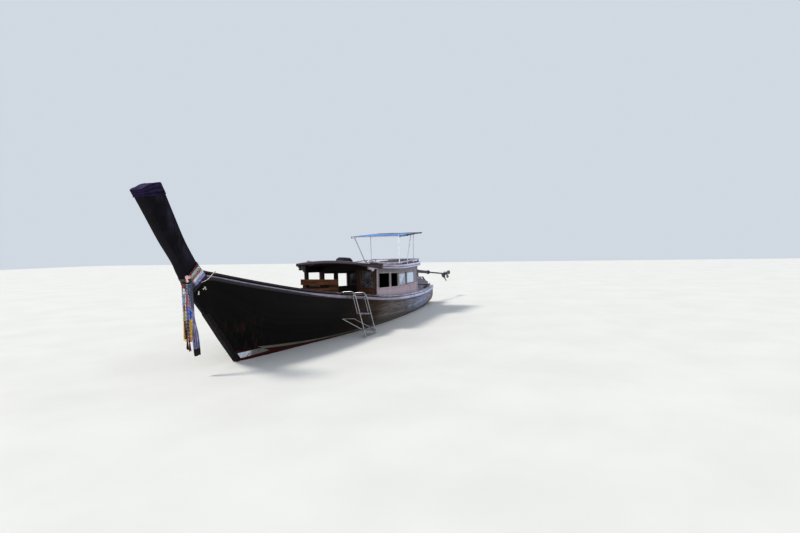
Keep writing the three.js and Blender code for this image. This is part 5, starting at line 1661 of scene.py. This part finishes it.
def blossoms(points, colours, tassel, seed):
    """Ruffled balls threaded on a string, and a tassel of threads at its end"""
    rng = random.Random(seed)
    bm = bmesh.new()
    uv = bm.loops.layers.uv.new("boards")

    def wrap(rings, mark, shut=True):
        rows = [[bm.verts.new(p) for p in ring] for ring in rings]
        n = len(rows[0])
        faces = [bm.faces.new((low[m], low[(m + 1) % n], high[(m + 1) % n], high[m]))
                 for low, high in zip(rows, rows[1:]) for m in range(n)]
        if shut:
            faces.append(bm.faces.new(rows[0][::-1]))
        faces.append(bm.faces.new(rows[-1]))
        for face in faces:
            for corner in face.loops:
                corner[uv].uv = mark
    total = run_length(points)
    count = int(total / 0.0235)
    for n, p in enumerate(points_at(points, [total * (k + 0.5) / count for k in range(count)])):
        shown = [c for high, c in colours if p.z <= high]
        which = shown[-1] if shown else colours[0][1]
        size = BLOSSOM * rng.uniform(0.84, 1.06)
        spin = rng.uniform(0, 6)
        radii = [size * (0.88, 1.16)[m % 2] for m in range(10)]
        wrap([level_ring(p + Vector((0, 0, share * 0.0105)), [r * wide for r in radii], spin)
              for share, wide in ((-1, 0.35), (-0.5, 0.9), (0, 1.0), (0.5, 0.85), (1, 0.3))],
             (n + seed * 100, which + 0.5))
    for m in range(16 if tassel else 0):
        a, r = rng.uniform(0, 6.28), rng.uniform(0.004, 0.021)
        way = Vector((math.cos(a), math.sin(a), 0))
        foot = points[-1] + way * r * 1.2 - Vector((0, 0, rng.uniform(0.13, 0.155)))
        top = points[-1] + way * 0.006 + Vector((0, 0, 0.004))
        belly = top.lerp(foot, 0.25) + (foot - top).cross(Vector((0, 0, 1))) * 0.1
        wrap([[q + Vector((math.cos(b), math.sin(b), 0)) * w for b in (0, 2.1, 4.2)]
              for q, w in ((top, 0.003), (belly, 0.006), (foot, 0.005))], (m, MAROON + 0.5), shut=False)
    return soften(built("blossoms", bm), 70)


for n, (offset, fore, low, colours, tassel) in enumerate(STRINGS):
    top = Vector((6.35 - 0.347 * offset + fore, 0.06 + 0.938 * offset, 1.575))
    bottom = Vector((top.x + 0.006 * (n % 3 - 1), top.y + 0.006 * ((n + 1) % 3 - 1), low))
    middle = top.lerp(bottom, 0.5) + Vector((0.006 * math.sin(n * 2), 0.006 * math.cos(n * 3), 0))
    points = smooth_path([top, middle, bottom], 9)
    line = points + [points[-1] - Vector((0, 0, drop)) for drop in (0.04, 0.08)] if tassel else points
    string = rod(f"garland_string_{n + 1}", line, 0.0022, string_cloth, turns=2)
    flowers = keep(f"garland_blossoms_{n + 1}", blossoms(points, colours, tassel, n), blossom_cloth)
    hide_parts("garlands")
    run_length(line)

# Long ribbon
# A violet sash with a black end, tied at the neck and hanging in loose lengthwise folds beside
# the garlands, almost down to the water.


def ribbon():
    rings, boards = [], []
    for k in range(61):
        t = k / 60
        opened = min(max((t - 0.42) / 0.32, 0), 1)
        opened = opened * opened * (3 - 2 * opened)
        wide = 0.016 + 0.004 * math.sin(t * 9) + 0.036 * opened
        row, marks = [], []
        for m in range(41):
            s = m / 40
            wave = 2 * math.pi * s * 3.5
            across_r = (s - 0.5) * 2 * wide + 0.005 * math.sin(wave * 2 + 4 * t)
            depth = (0.019 + 0.005 * math.sin(9 * t)) * math.cos(wave + 2.2 * t)
            x = 6.352 - 0.1 * t ** 1.3 - 0.347 * across_r + 0.938 * depth + 0.004 * math.sin(6 * t)
            y = 0.152 + 0.938 * across_r + 0.347 * depth + 0.004 * math.sin(5 * t + 1)
            row.append((x, y, 1.57 - 1.21 * t - 0.012 * math.sin(s * 5) * t))
            marks.append((s, t))
        rings.append(row)
        boards.append(marks)
    return soften(skin(rings, closed=False, caps=False, boards=boards), 80)


def ribbon_ends(u, v, colour):
    stripe = (u * 9).sum("FRACT")
    colour = (stripe.rise(0.7, 0.8) * 0.6).blend(colour, (0.16, 0.14, 0.36))
    colour = (v.rise(0.45, 0.25) * 0.85).blend(colour, (0.035, 0.045, 0.06))
    return v.rise(0.895, 0.905).blend(colour, (0.006, 0.005, 0.008))


ribbon_cloth = finish("ribbon_cloth", cloth_colour((0.14, 0.135, 0.24), (0.46, 0.45, 0.62), ribbon_ends, 900),
                      depth=0.003, sheen=0.15)
sash_end = keep("hanging_ribbon", ribbon(), ribbon_cloth)
thicken(sash_end, 0.0016, 0)
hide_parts("long_ribbon")

# Bundle on the roof
# A dark tarpaulin, folded and rolled, lying slack on the roof boards and tied twice.


def bundle():
    rings = []
    for s in spaced(-1, 1, 1 / 12):
        swell = max(0.0, 1 - abs(s) ** 3.2) ** 0.5
        tied = 1 - 0.16 * sum(math.exp(-((s - place) / 0.07) ** 2) for place in (-0.45, 0.4))
        ring = []
        for a in round_angles(28):
            ca, sa = math.cos(a), math.sin(a)
            lump = 1 + 0.06 * math.sin(3 * a + 5 * s) + 0.04 * math.sin(7 * a - 9 * s)
            size = swell * tied * (lump + 0.03 * math.sin(11 * a + 17 * s))
            x, y = 0.80 + s * 0.26, 0.26 + 0.19 * size * math.copysign(abs(ca) ** 0.7, ca)
            z = 0.098 * size * (sa ** 0.7 if sa > 0 else -0.12 * (-sa) ** 0.6)
            ring.append((x, y, roof_top(x, y) + 0.012 * swell + z))
        rings.append(ring)
    return soften(skin(rings), 80)


tarpaulin = cloth_colour((0.003, 0.004, 0.010), (0.012, 0.014, 0.03), None, 500)
bundle_cloth = finish("bundle_cloth", tarpaulin, depth=0.006)
heap = keep("tarpaulin_bundle", bundle(), bundle_cloth)
rounder = heap.modifiers.new("fuller", "SUBSURF")
rounder.levels = 1
rounder.render_levels = 1
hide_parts("roof_bundle")

# Boarding ladder
# Polished steel tube bent into two hooks over the gunwale, inner and outer rails with pressed
# treads between them, and a stand-off that bears on the planking.
LADDER_X, LADDER_HALF = 1.675, 0.325
LADDER_SIDES = (LADDER_X - LADDER_HALF, LADDER_X + LADDER_HALF)
LADDER_TUBE, LADDER_THIN = 0.016, 0.01248
# y and z of the outer rails at the bend and at the foot
LADDER_TOP, LADDER_FOOT = (1.112, 0.985), (1.422, -0.24)
LADDER_TREADS = [0.95, 0.55, 0.155, -0.215]
LADDER_RISE = (cap_top(LADDER_SIDES[1]) - cap_top(LADDER_SIDES[0])) / (2 * LADDER_HALF)


def lift(x):
    """How much higher the ladder is here than in its middle, because the sheer rises"""
    return (x - LADDER_X) * LADDER_RISE


def ladder_y(z):
    (top_y, top_z), (foot_y, foot_z) = LADDER_TOP, LADDER_FOOT
    return top_y + (top_z - z) / (top_z - foot_z) * (foot_y - top_y)


def steel_colour(point, board):
    brushed = point.scaled(1, 1, 0.2).cloud(160, 3)
    spots = point.cloud(30, 5, 0.7)
    colour = brushed.rise(0.2, 0.8).blend((0.2, 0.2, 0.205), (0.46, 0.45, 0.44))
    stain = spots.rise(0.6, 0.7)
    return {"colour": (stain * 0.5).blend(colour, (0.3, 0.24, 0.18)), "relief": spots,
            "rough": spots.rise(0.3, 0.7, 0.22, 0.45), "metal": stain.rise(0, 1, 0.9, 0.4)}


def behind_rail(x, places):
    """Points by the height on the outer rail, the distance behind it, and their own height"""
    return [(x, ladder_y(level) - back, z + lift(x)) for level, back, z in places]


ladder_steel = finish("ladder_steel", steel_colour, depth=0.0006)
runs = []
r, thin = LADDER_TUBE, LADDER_THIN
stand_off = [Vector((x, side_y(x, 0.4 + lift(x)) + thin + 0.004, 0.4 + lift(x))) for x in (1.64, 2.15)]
for x, on_hull in zip(LADDER_SIDES, stand_off):
    board_z = cap_top(x + r) + SEAT_GAP
    hook = smooth_path([(x, 0.722, board_z - 0.026), (x, 0.775, board_z + 0.002), (x, 0.82, board_z + r),
                        (x, 0.94, board_z + r + 0.006), (x, 1.04, board_z + r + 0.004),
                        (x, 1.086, board_z - 0.024), (x, 1.102, board_z - 0.07),
                        (x, LADDER_TOP[0], LADDER_TOP[1] + lift(x))], 5)
    foot = Vector((x, LADDER_FOOT[0], LADDER_FOOT[1] + lift(x)))
    runs.append((hook + [hook[-1].lerp(foot, k / 6) for k in range(1, 7)], r))
    high = behind_rail(x, ((0.95, 0, 0.95), (0.95, 0.04, 0.952), (0.94, 0.062, 0.93),
                           (0.74, 0.064, 0.74), (0.56, 0.062, 0.54)))
    low = behind_rail(x, ((-0.216, 0, -0.216), (-0.216, 0.034, -0.212), (-0.18, 0.043, -0.17),
                          (0.16, 0.044, 0.13)))
    knee = low[-1]
    runs += [(smooth_path(high, 4), thin), (smooth_path(low, 4), thin),
             ((knee, (x, knee[1], knee[2] + 0.03), on_hull), thin),
             ((foot + Vector((0, -0.0005, 0.002)), foot + Vector((0, 0.0004, -0.004))), r * 1.12)]
a, b = stand_off
runs.append(((a.lerp(b, -0.02), a.lerp(b, 1.02)), thin))
ladder_tubes = tubes("ladder_rails", runs, ladder_steel)
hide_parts("boarding_ladder")


def tread_colour(point, board):
    x, y, z = point.xyz()
    grip = (x * 210).sum("SINE") * (y * 210).sum("SINE")
    patch = point.cloud(14, 5, 0.6)
    return {"colour": patch.rise(0.3, 0.7).blend((0.12, 0.115, 0.15), (0.3, 0.29, 0.35)),
            "relief": grip.rise(0.2, 0.5) + patch * 0.3, "metal": patch.rise(0.3, 0.7, 0.6, 0.3)}


tread_metal = finish("tread_metal", tread_colour, rough=0.5)
sticks = []
for z in LADDER_TREADS:
    # The top tread lies on the hooks, behind the rails
    back, fore = (0.084, -0.03) if z > 0.9 else (0.07, 0.028)
    deep = (ladder_y(z) - back, ladder_y(z) + fore)
    ends = [Vector((x, sum(deep) / 2, z + lift(x)))
            for x in (LADDER_SIDES[0] - 0.004, LADDER_SIDES[1] + 0.004)]
    sticks.append((*ends, (0, deep[1] - deep[0], 0), (0, 0, 0.012)))
    for y in deep:
        a, b = (end + Vector((0, y - end.y, -0.014)) for end in ends)
        sticks.append((a, b, (0, 0.004, 0), (0, 0, 0.04)))
timbers("ladder_treads", sticks, tread_metal, ease=0.0015)

# Engine stand, yoke and tail housing
# Welded steel painted black, rusty at its edges: a pedestal on the stern deck with a cross bar
# and two raking legs; the yoke turns on it and carries the housing on two trunnion pins.


def iron_colour(dark, light, rust_amount=0.6):
    def mix(point, board):
        patch = point.cloud(7, 6, 0.6)
        fine = point.cloud(45, 5, 0.7)
        rust = (patch * 0.55 + fine * 0.45).rise(0.53, 0.62)
        colour = patch.rise(0.3, 0.7).blend(dark, light)
        colour = (rust * rust_amount).blend(colour, (0.2, 0.075, 0.03))
        oil = point.scaled(1, 1, 0.5).cloud(5, 5).rise(0.55, 0.7)
        colour = (oil * 0.5).blend(colour, (0.01, 0.009, 0.008))
        return {"colour": colour, "relief": fine * 0.6 + rust * 0.6, "rough": rust.rise(0, 1, 0.42, 0.85),
                "metal": rust.rise(0, 1, 0.5, 0.0)}
    return mix


stand_steel = finish("stand_steel", iron_colour((0.02, 0.02, 0.023), (0.06, 0.058, 0.065)), depth=0.001)
dress(stand_steel, "engine_stand", "swivel_yoke", ease=0.003)
housing_paint = finish("housing_paint", iron_colour((0.018, 0.016, 0.03), (0.085, 0.08, 0.125), 0.3),
                       depth=0.001)
dress(housing_paint, "tail_housing", ease=0.003)
PIVOT = Vector((-5.75, 0, 1.225))
TAIL = (Matrix.Translation(PIVOT) @ Matrix.Rotation(math.radians(-7), 4, "Z")
        @ Matrix.Rotation(math.radians(-4.9), 4, "Y"))


def on_tail(made):
    """Move a piece from the tail's own axes, with the pivot at their origin, to its rest place"""
    made.data.transform(TAIL)
    return made


# Shaft tube, skeg and tiller
# A long steel tube from the housing to the propeller, with a bearing sleeve at its end and a
# skeg plate with a long spike, bar-edged; the tiller is a bent pipe with a rubber grip.
TAIL_LENGTH = 3.2
TILLER = 0.0195
SKEG = [
    # How far ahead of the propeller, height
    (0.6, -0.02), (0.2, -0.02), (0.19, -0.1), (0.225, -0.155), (0.05, -0.3), (0.072, -0.316),
    (0.3, -0.18), (0.42, -0.172), (0.53, -0.13), (0.59, -0.07),
]
runs = [([(-1.2403, 0, 0), (-2.1, 0, 0), (-3.14, 0, 0)], 0.026), ([(-2.87, 0, 0), (-3.13, 0, 0)], 0.04),
        ([(-1.2403, 0, 0), (-1.3, 0, 0)], [0.04, 0.03]), ([(-3.1, 0, 0), (-3.12, 0, 0)], 0.045),
        ([(-2.1, 0, 0), (-2.14, 0, 0)], 0.031), ([(-2.985, 0, -0.168), (-3.138, 0, -0.304)], 0.01)]
shaft_paint = finish("shaft_paint", iron_colour((0.015, 0.017, 0.022), (0.05, 0.055, 0.068), 0.25),
                     depth=0.001)
shaft = on_tail(tubes("shaft", runs, shaft_paint, body="tail", sides=24))
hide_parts("shaft_tube")
plate = skin([[(ahead - TAIL_LENGTH, y, z) for ahead, z in SKEG] for y in (-0.005, 0.005)])
on_tail(keep("skeg", soften(plate), shaft_paint, "tail"))
handle = smooth_path([(1.165, 0, 0.045), (1.24, 0, 0.062), (1.45, 0, 0.122), (1.7, 0, 0.19)], 6)
runs = [(handle, TILLER), ([(1.1505, -0.155, 0.045), (1.1505, 0.155, 0.045)], 0.012),
        ([(1.1503, 0, 0.045), (1.175, 0, 0.047)], 0.034)]
tiller_tube = on_tail(tubes("tiller_bar", runs, shaft_paint, "tail", 20))
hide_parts("tiller")
rubber = finish("rubber", worn_black((0.008, 0.008, 0.008), (0.035, 0.034, 0.034), 40), rough=0.75,
                depth=0.001)
grip_line = handle[12:]
grip_sizes = [TILLER + (0.0035 if k % 2 else 0.002) for k in range(len(grip_line))]
on_tail(tubes("tiller_grip", [(grip_line, grip_sizes)], rubber, "tail", 20))

# Propeller
# Cast alloy, three broad blades with rounded tips, polished by sand, on a tapered hub.


def turned(profile, sides=28):
    """A round part about the x axis: pairs of x and radius"""
    return skin([[(x, r * math.cos(a), r * math.sin(a)) for a in round_angles(sides)] for x, r in profile])


def blade(turned_by):
    rows = []
    for t in spaced(0, 1, 0.1):
        r = 0.02 + 0.162 * t
        tip = 1 if t < 0.85 else math.sqrt(max(0.02, 1 - ((t - 0.85) / 0.15) ** 2))
        chord = 0.066 * (0.55 + 0.9 * math.sin(math.pi * min(t * 0.86 + 0.1, 1)) ** 0.8) * tip
        pitch = math.atan2(0.34, 2 * math.pi * r)
        thick = 0.007 * (1 - 0.75 * t)
        row = []
        for b in round_angles(14):
            s, n = chord * math.cos(b), thick / 2 * math.sin(b) + 0.004 * math.cos(b) ** 2
            a = s * math.cos(pitch) / r * 0.9 + turned_by - math.pi / 4
            row.append((s * math.sin(pitch) + n * math.cos(pitch), -r * math.sin(a), r * math.cos(a)))
        rows.append(row)
    return skin(rows)


def propeller_colour(point, board):
    patch = point.cloud(16, 5, 0.6)
    worn = patch.rise(0.3, 0.7).blend((0.1, 0.09, 0.1), (0.32, 0.29, 0.32))
    return {"colour": worn, "relief": point.cloud(90, 3), "rough": patch.rise(0.3, 0.7, 0.3, 0.5),
            "metal": 0.85}


hub = turned([(0.056, 0.022), (0.04, 0.028), (0.0, 0.03), (-0.025, 0.026), (-0.038, 0.016)], 24)
wheel_shape = joined("propeller", [hub, *(blade(a) for a in round_angles(3))], 45)
wheel_shape.transform(Matrix.Translation((-TAIL_LENGTH, 0, 0)))
propeller_metal = finish("propeller_metal", propeller_colour, depth=0.0005)
wheel = on_tail(keep("propeller_wheel", wheel_shape, propeller_metal, "propeller"))
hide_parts("propeller")

# Engine
# A four-cylinder lorry engine bolted between the bed rails: crankcase, block, head and rocker
# cover, manifolds on both sides, alternator, pulleys with a belt, and a bell housing.
ON_END = Matrix.Rotation(math.radians(-90), 4, "Y")


def placed(part, x, y, z, turn=Matrix()):
    """Turn or stretch a part, then move it"""
    part.transform(Matrix.Translation((x, y, z)) @ turn)
    return part


def box(x0, x1, y0, y1, z0, z1, taper=0.0):
    return skin([[(x, y0 + taper, z0), (x, y1 - taper, z0), (x, y1, z1), (x, y0, z1)] for x in (x0, x1)])


def engine_part(name, parts, material, angle=40, ease=0.0):
    made = keep(name, joined(name, parts, angle), material, "tail")
    if ease:
        ease_edges(made, ease)
    return on_tail(made)


engine_iron = finish("engine_iron", iron_colour((0.07, 0.075, 0.07), (0.17, 0.175, 0.165), 0.5), depth=0.0015)
parts = [box(0.3, 0.98, -0.094, 0.094, -0.058, 0.068, 0.02), box(0.285, 0.99, -0.15, 0.15, 0.072, 0.115),
         box(0.3, 0.975, -0.135, 0.135, 0.11, 0.285), box(0.295, 0.98, -0.142, 0.142, 0.285, 0.345)]
for x in (0.33 + k * 0.152 for k in range(5)):
    parts.append(box(x - 0.009, x + 0.009, -0.148, 0.148, 0.112, 0.28))
bell = turned([(0.175, 0.06), (0.18, 0.13), (0.2, 0.142), (0.24, 0.142), (0.29, 0.12)])
parts += [placed(bell, 0, 0, 0.155, Matrix.Diagonal((1, 1.4, 0.95, 1))),
          box(0.98, 1.005, -0.125, 0.125, 0.075, 0.33)]
for x in (0.4, 0.88):
    for _, side in SIDES:
        parts.append(box(x - 0.045, x + 0.045, side * 0.12, side * 0.212, 0.0715, 0.088))
engine = engine_part("engine_block", parts, engine_iron, ease=0.004)
cover_paint = finish("cover_paint", iron_colour((0.03, 0.06, 0.13), (0.08, 0.13, 0.24), 0.35), depth=0.001)
# Half of the rocker cover's section: y, height
COVER = [(-0.085, 0), (-0.085, 0.035), (-0.07, 0.055), (-0.04, 0.064)]
section = COVER + [(-y, z) for y, z in COVER[::-1]]
cover = [[(x, y * w, 0.346 + z) for y, z in section]
         for x, w in ((0.32, 0.9), (0.335, 1), (0.93, 1), (0.945, 0.9))]
oil_cap = placed(turned([(0, 0.024), (0.014, 0.026), (0.016, 0.02)]), 0.8, 0.02, 0.408, ON_END)
engine_part("rocker_cover", [skin(cover), oil_cap], cover_paint, ease=0.003)
bare_metal = finish("bare_metal", iron_colour((0.25, 0.25, 0.26), (0.45, 0.45, 0.46), 0.3), depth=0.001)
# Heads of the bolts in the cylinder head, the sump rail and the bell housing
HEAD_BOLT = [(0, 0.009), (0.008, 0.009), (0.012, 0.006)]
SUMP_BOLT = [(0, 0.007), (0.007, 0.007), (0.01, 0.005)]
BELL_BOLT = [(0, 0.009), (0.01, 0.009), (0.013, 0.006)]
bolts = []
for k in range(5):
    for _, side in SIDES:
        bolts.append(placed(turned(HEAD_BOLT, 6), 0.34 + k * 0.148, side * 0.115, 0.345, ON_END))
        bolts.append(placed(turned(SUMP_BOLT, 6), 0.36 + k * 0.135, side * 0.14, 0.095, ON_END))
for a in round_angles(8):
    y, z = 0.175 * math.cos(a + 0.2), 0.155 + 0.12 * math.sin(a + 0.2)
    bolts.append(placed(turned(BELL_BOLT, 6), 0.239, y, z))
engine_part("engine_bolts", bolts, bare_metal, angle=30)
manifold_iron = finish("manifold_iron", iron_colour((0.1, 0.05, 0.035), (0.22, 0.11, 0.07), 0.9))
PORTS = [0.37 + k * 0.17 for k in range(4)]
runs = []
for x in PORTS:
    runs.append((smooth_path([(x, 0.14, 0.315), (x, 0.165, 0.312), (x - 0.01, 0.182, 0.29),
                              (x - 0.02, 0.184, 0.26)], 4), 0.02))
runs.append(([(0.93, 0.184, 0.25), (0.6, 0.184, 0.25), (0.26, 0.184, 0.25)], [0.022, 0.028, 0.028]))
runs.append((smooth_path([(0.28, 0.184, 0.25), (0.2, 0.184, 0.256), (0.175, 0.184, 0.3),
                          (0.175, 0.184, 0.4)], 5), 0.026))
on_tail(tubes("exhaust_manifold", runs, manifold_iron, "tail", 18))
runs = [(smooth_path([(x, -0.14, 0.315), (x, -0.17, 0.318), (x, -0.186, 0.335)], 4), 0.017) for x in PORTS]
runs += [([(0.34, -0.188, 0.352), (0.92, -0.188, 0.352)], 0.026),
         ([(0.92, -0.188, 0.352), (0.925, -0.188, 0.352)], 0.03),
         ([(0.62, -0.188, 0.36), (0.62, -0.186, 0.4)], 0.022),
         ([(0.62, -0.186, 0.4), (0.62, -0.186, 0.422)], 0.05)]
on_tail(tubes("intake_manifold", runs, bare_metal, "tail", 18))
parts = [placed(turned([(0.5, 0.0), (0.502, 0.036), (0.56, 0.038), (0.575, 0.03)]), 0, -0.178, 0.17),
         placed(turned([(0.8, 0.03), (0.805, 0.048), (0.9, 0.048), (0.91, 0.03)]), 0, 0.165, 0.17),
         placed(turned([(0.905, 0.018), (1.02, 0.018)]), 0, 0.165, 0.17),
         placed(turned([(1.0, 0.02), (1.04, 0.02)]), 0, 0, 0.02),
         placed(turned([(1.0, 0.03), (1.015, 0.045), (1.04, 0.03)]), 0, 0, 0.25)]
# A grooved pulley: x, share of its radius
PULLEY = [(1.016, 0.6), (1.018, 1), (1.022, 1), (1.027, 0.86), (1.031, 0.86), (1.036, 1), (1.04, 1),
          (1.042, 0.6)]
for y, z, r in ((0, 0.02, 0.062), (0, 0.25, 0.052), (0.165, 0.17, 0.034)):
    parts.append(placed(turned([(x, r * share) for x, share in PULLEY]), 0, y, z))
engine_part("pulleys_and_alternator", parts, bare_metal, angle=35)
belt = []
# y, z and radius of each wheel, and the angles between which the belt lies on it
for y, z, r, start, end in ((0, 0.02, 0.058, 200, 318), (0.165, 0.17, 0.031, -42, 62),
                            (0, 0.25, 0.048, 62, 180)):
    for k in range(9):
        a = math.radians(start + (end - start) * k / 8)
        belt.append((1.029, y + r * math.cos(a), z + r * math.sin(a)))
on_tail(tubes("fan_belt", [(belt + [belt[0]], 0.006)], rubber, "tail", 8))
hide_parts("engine")
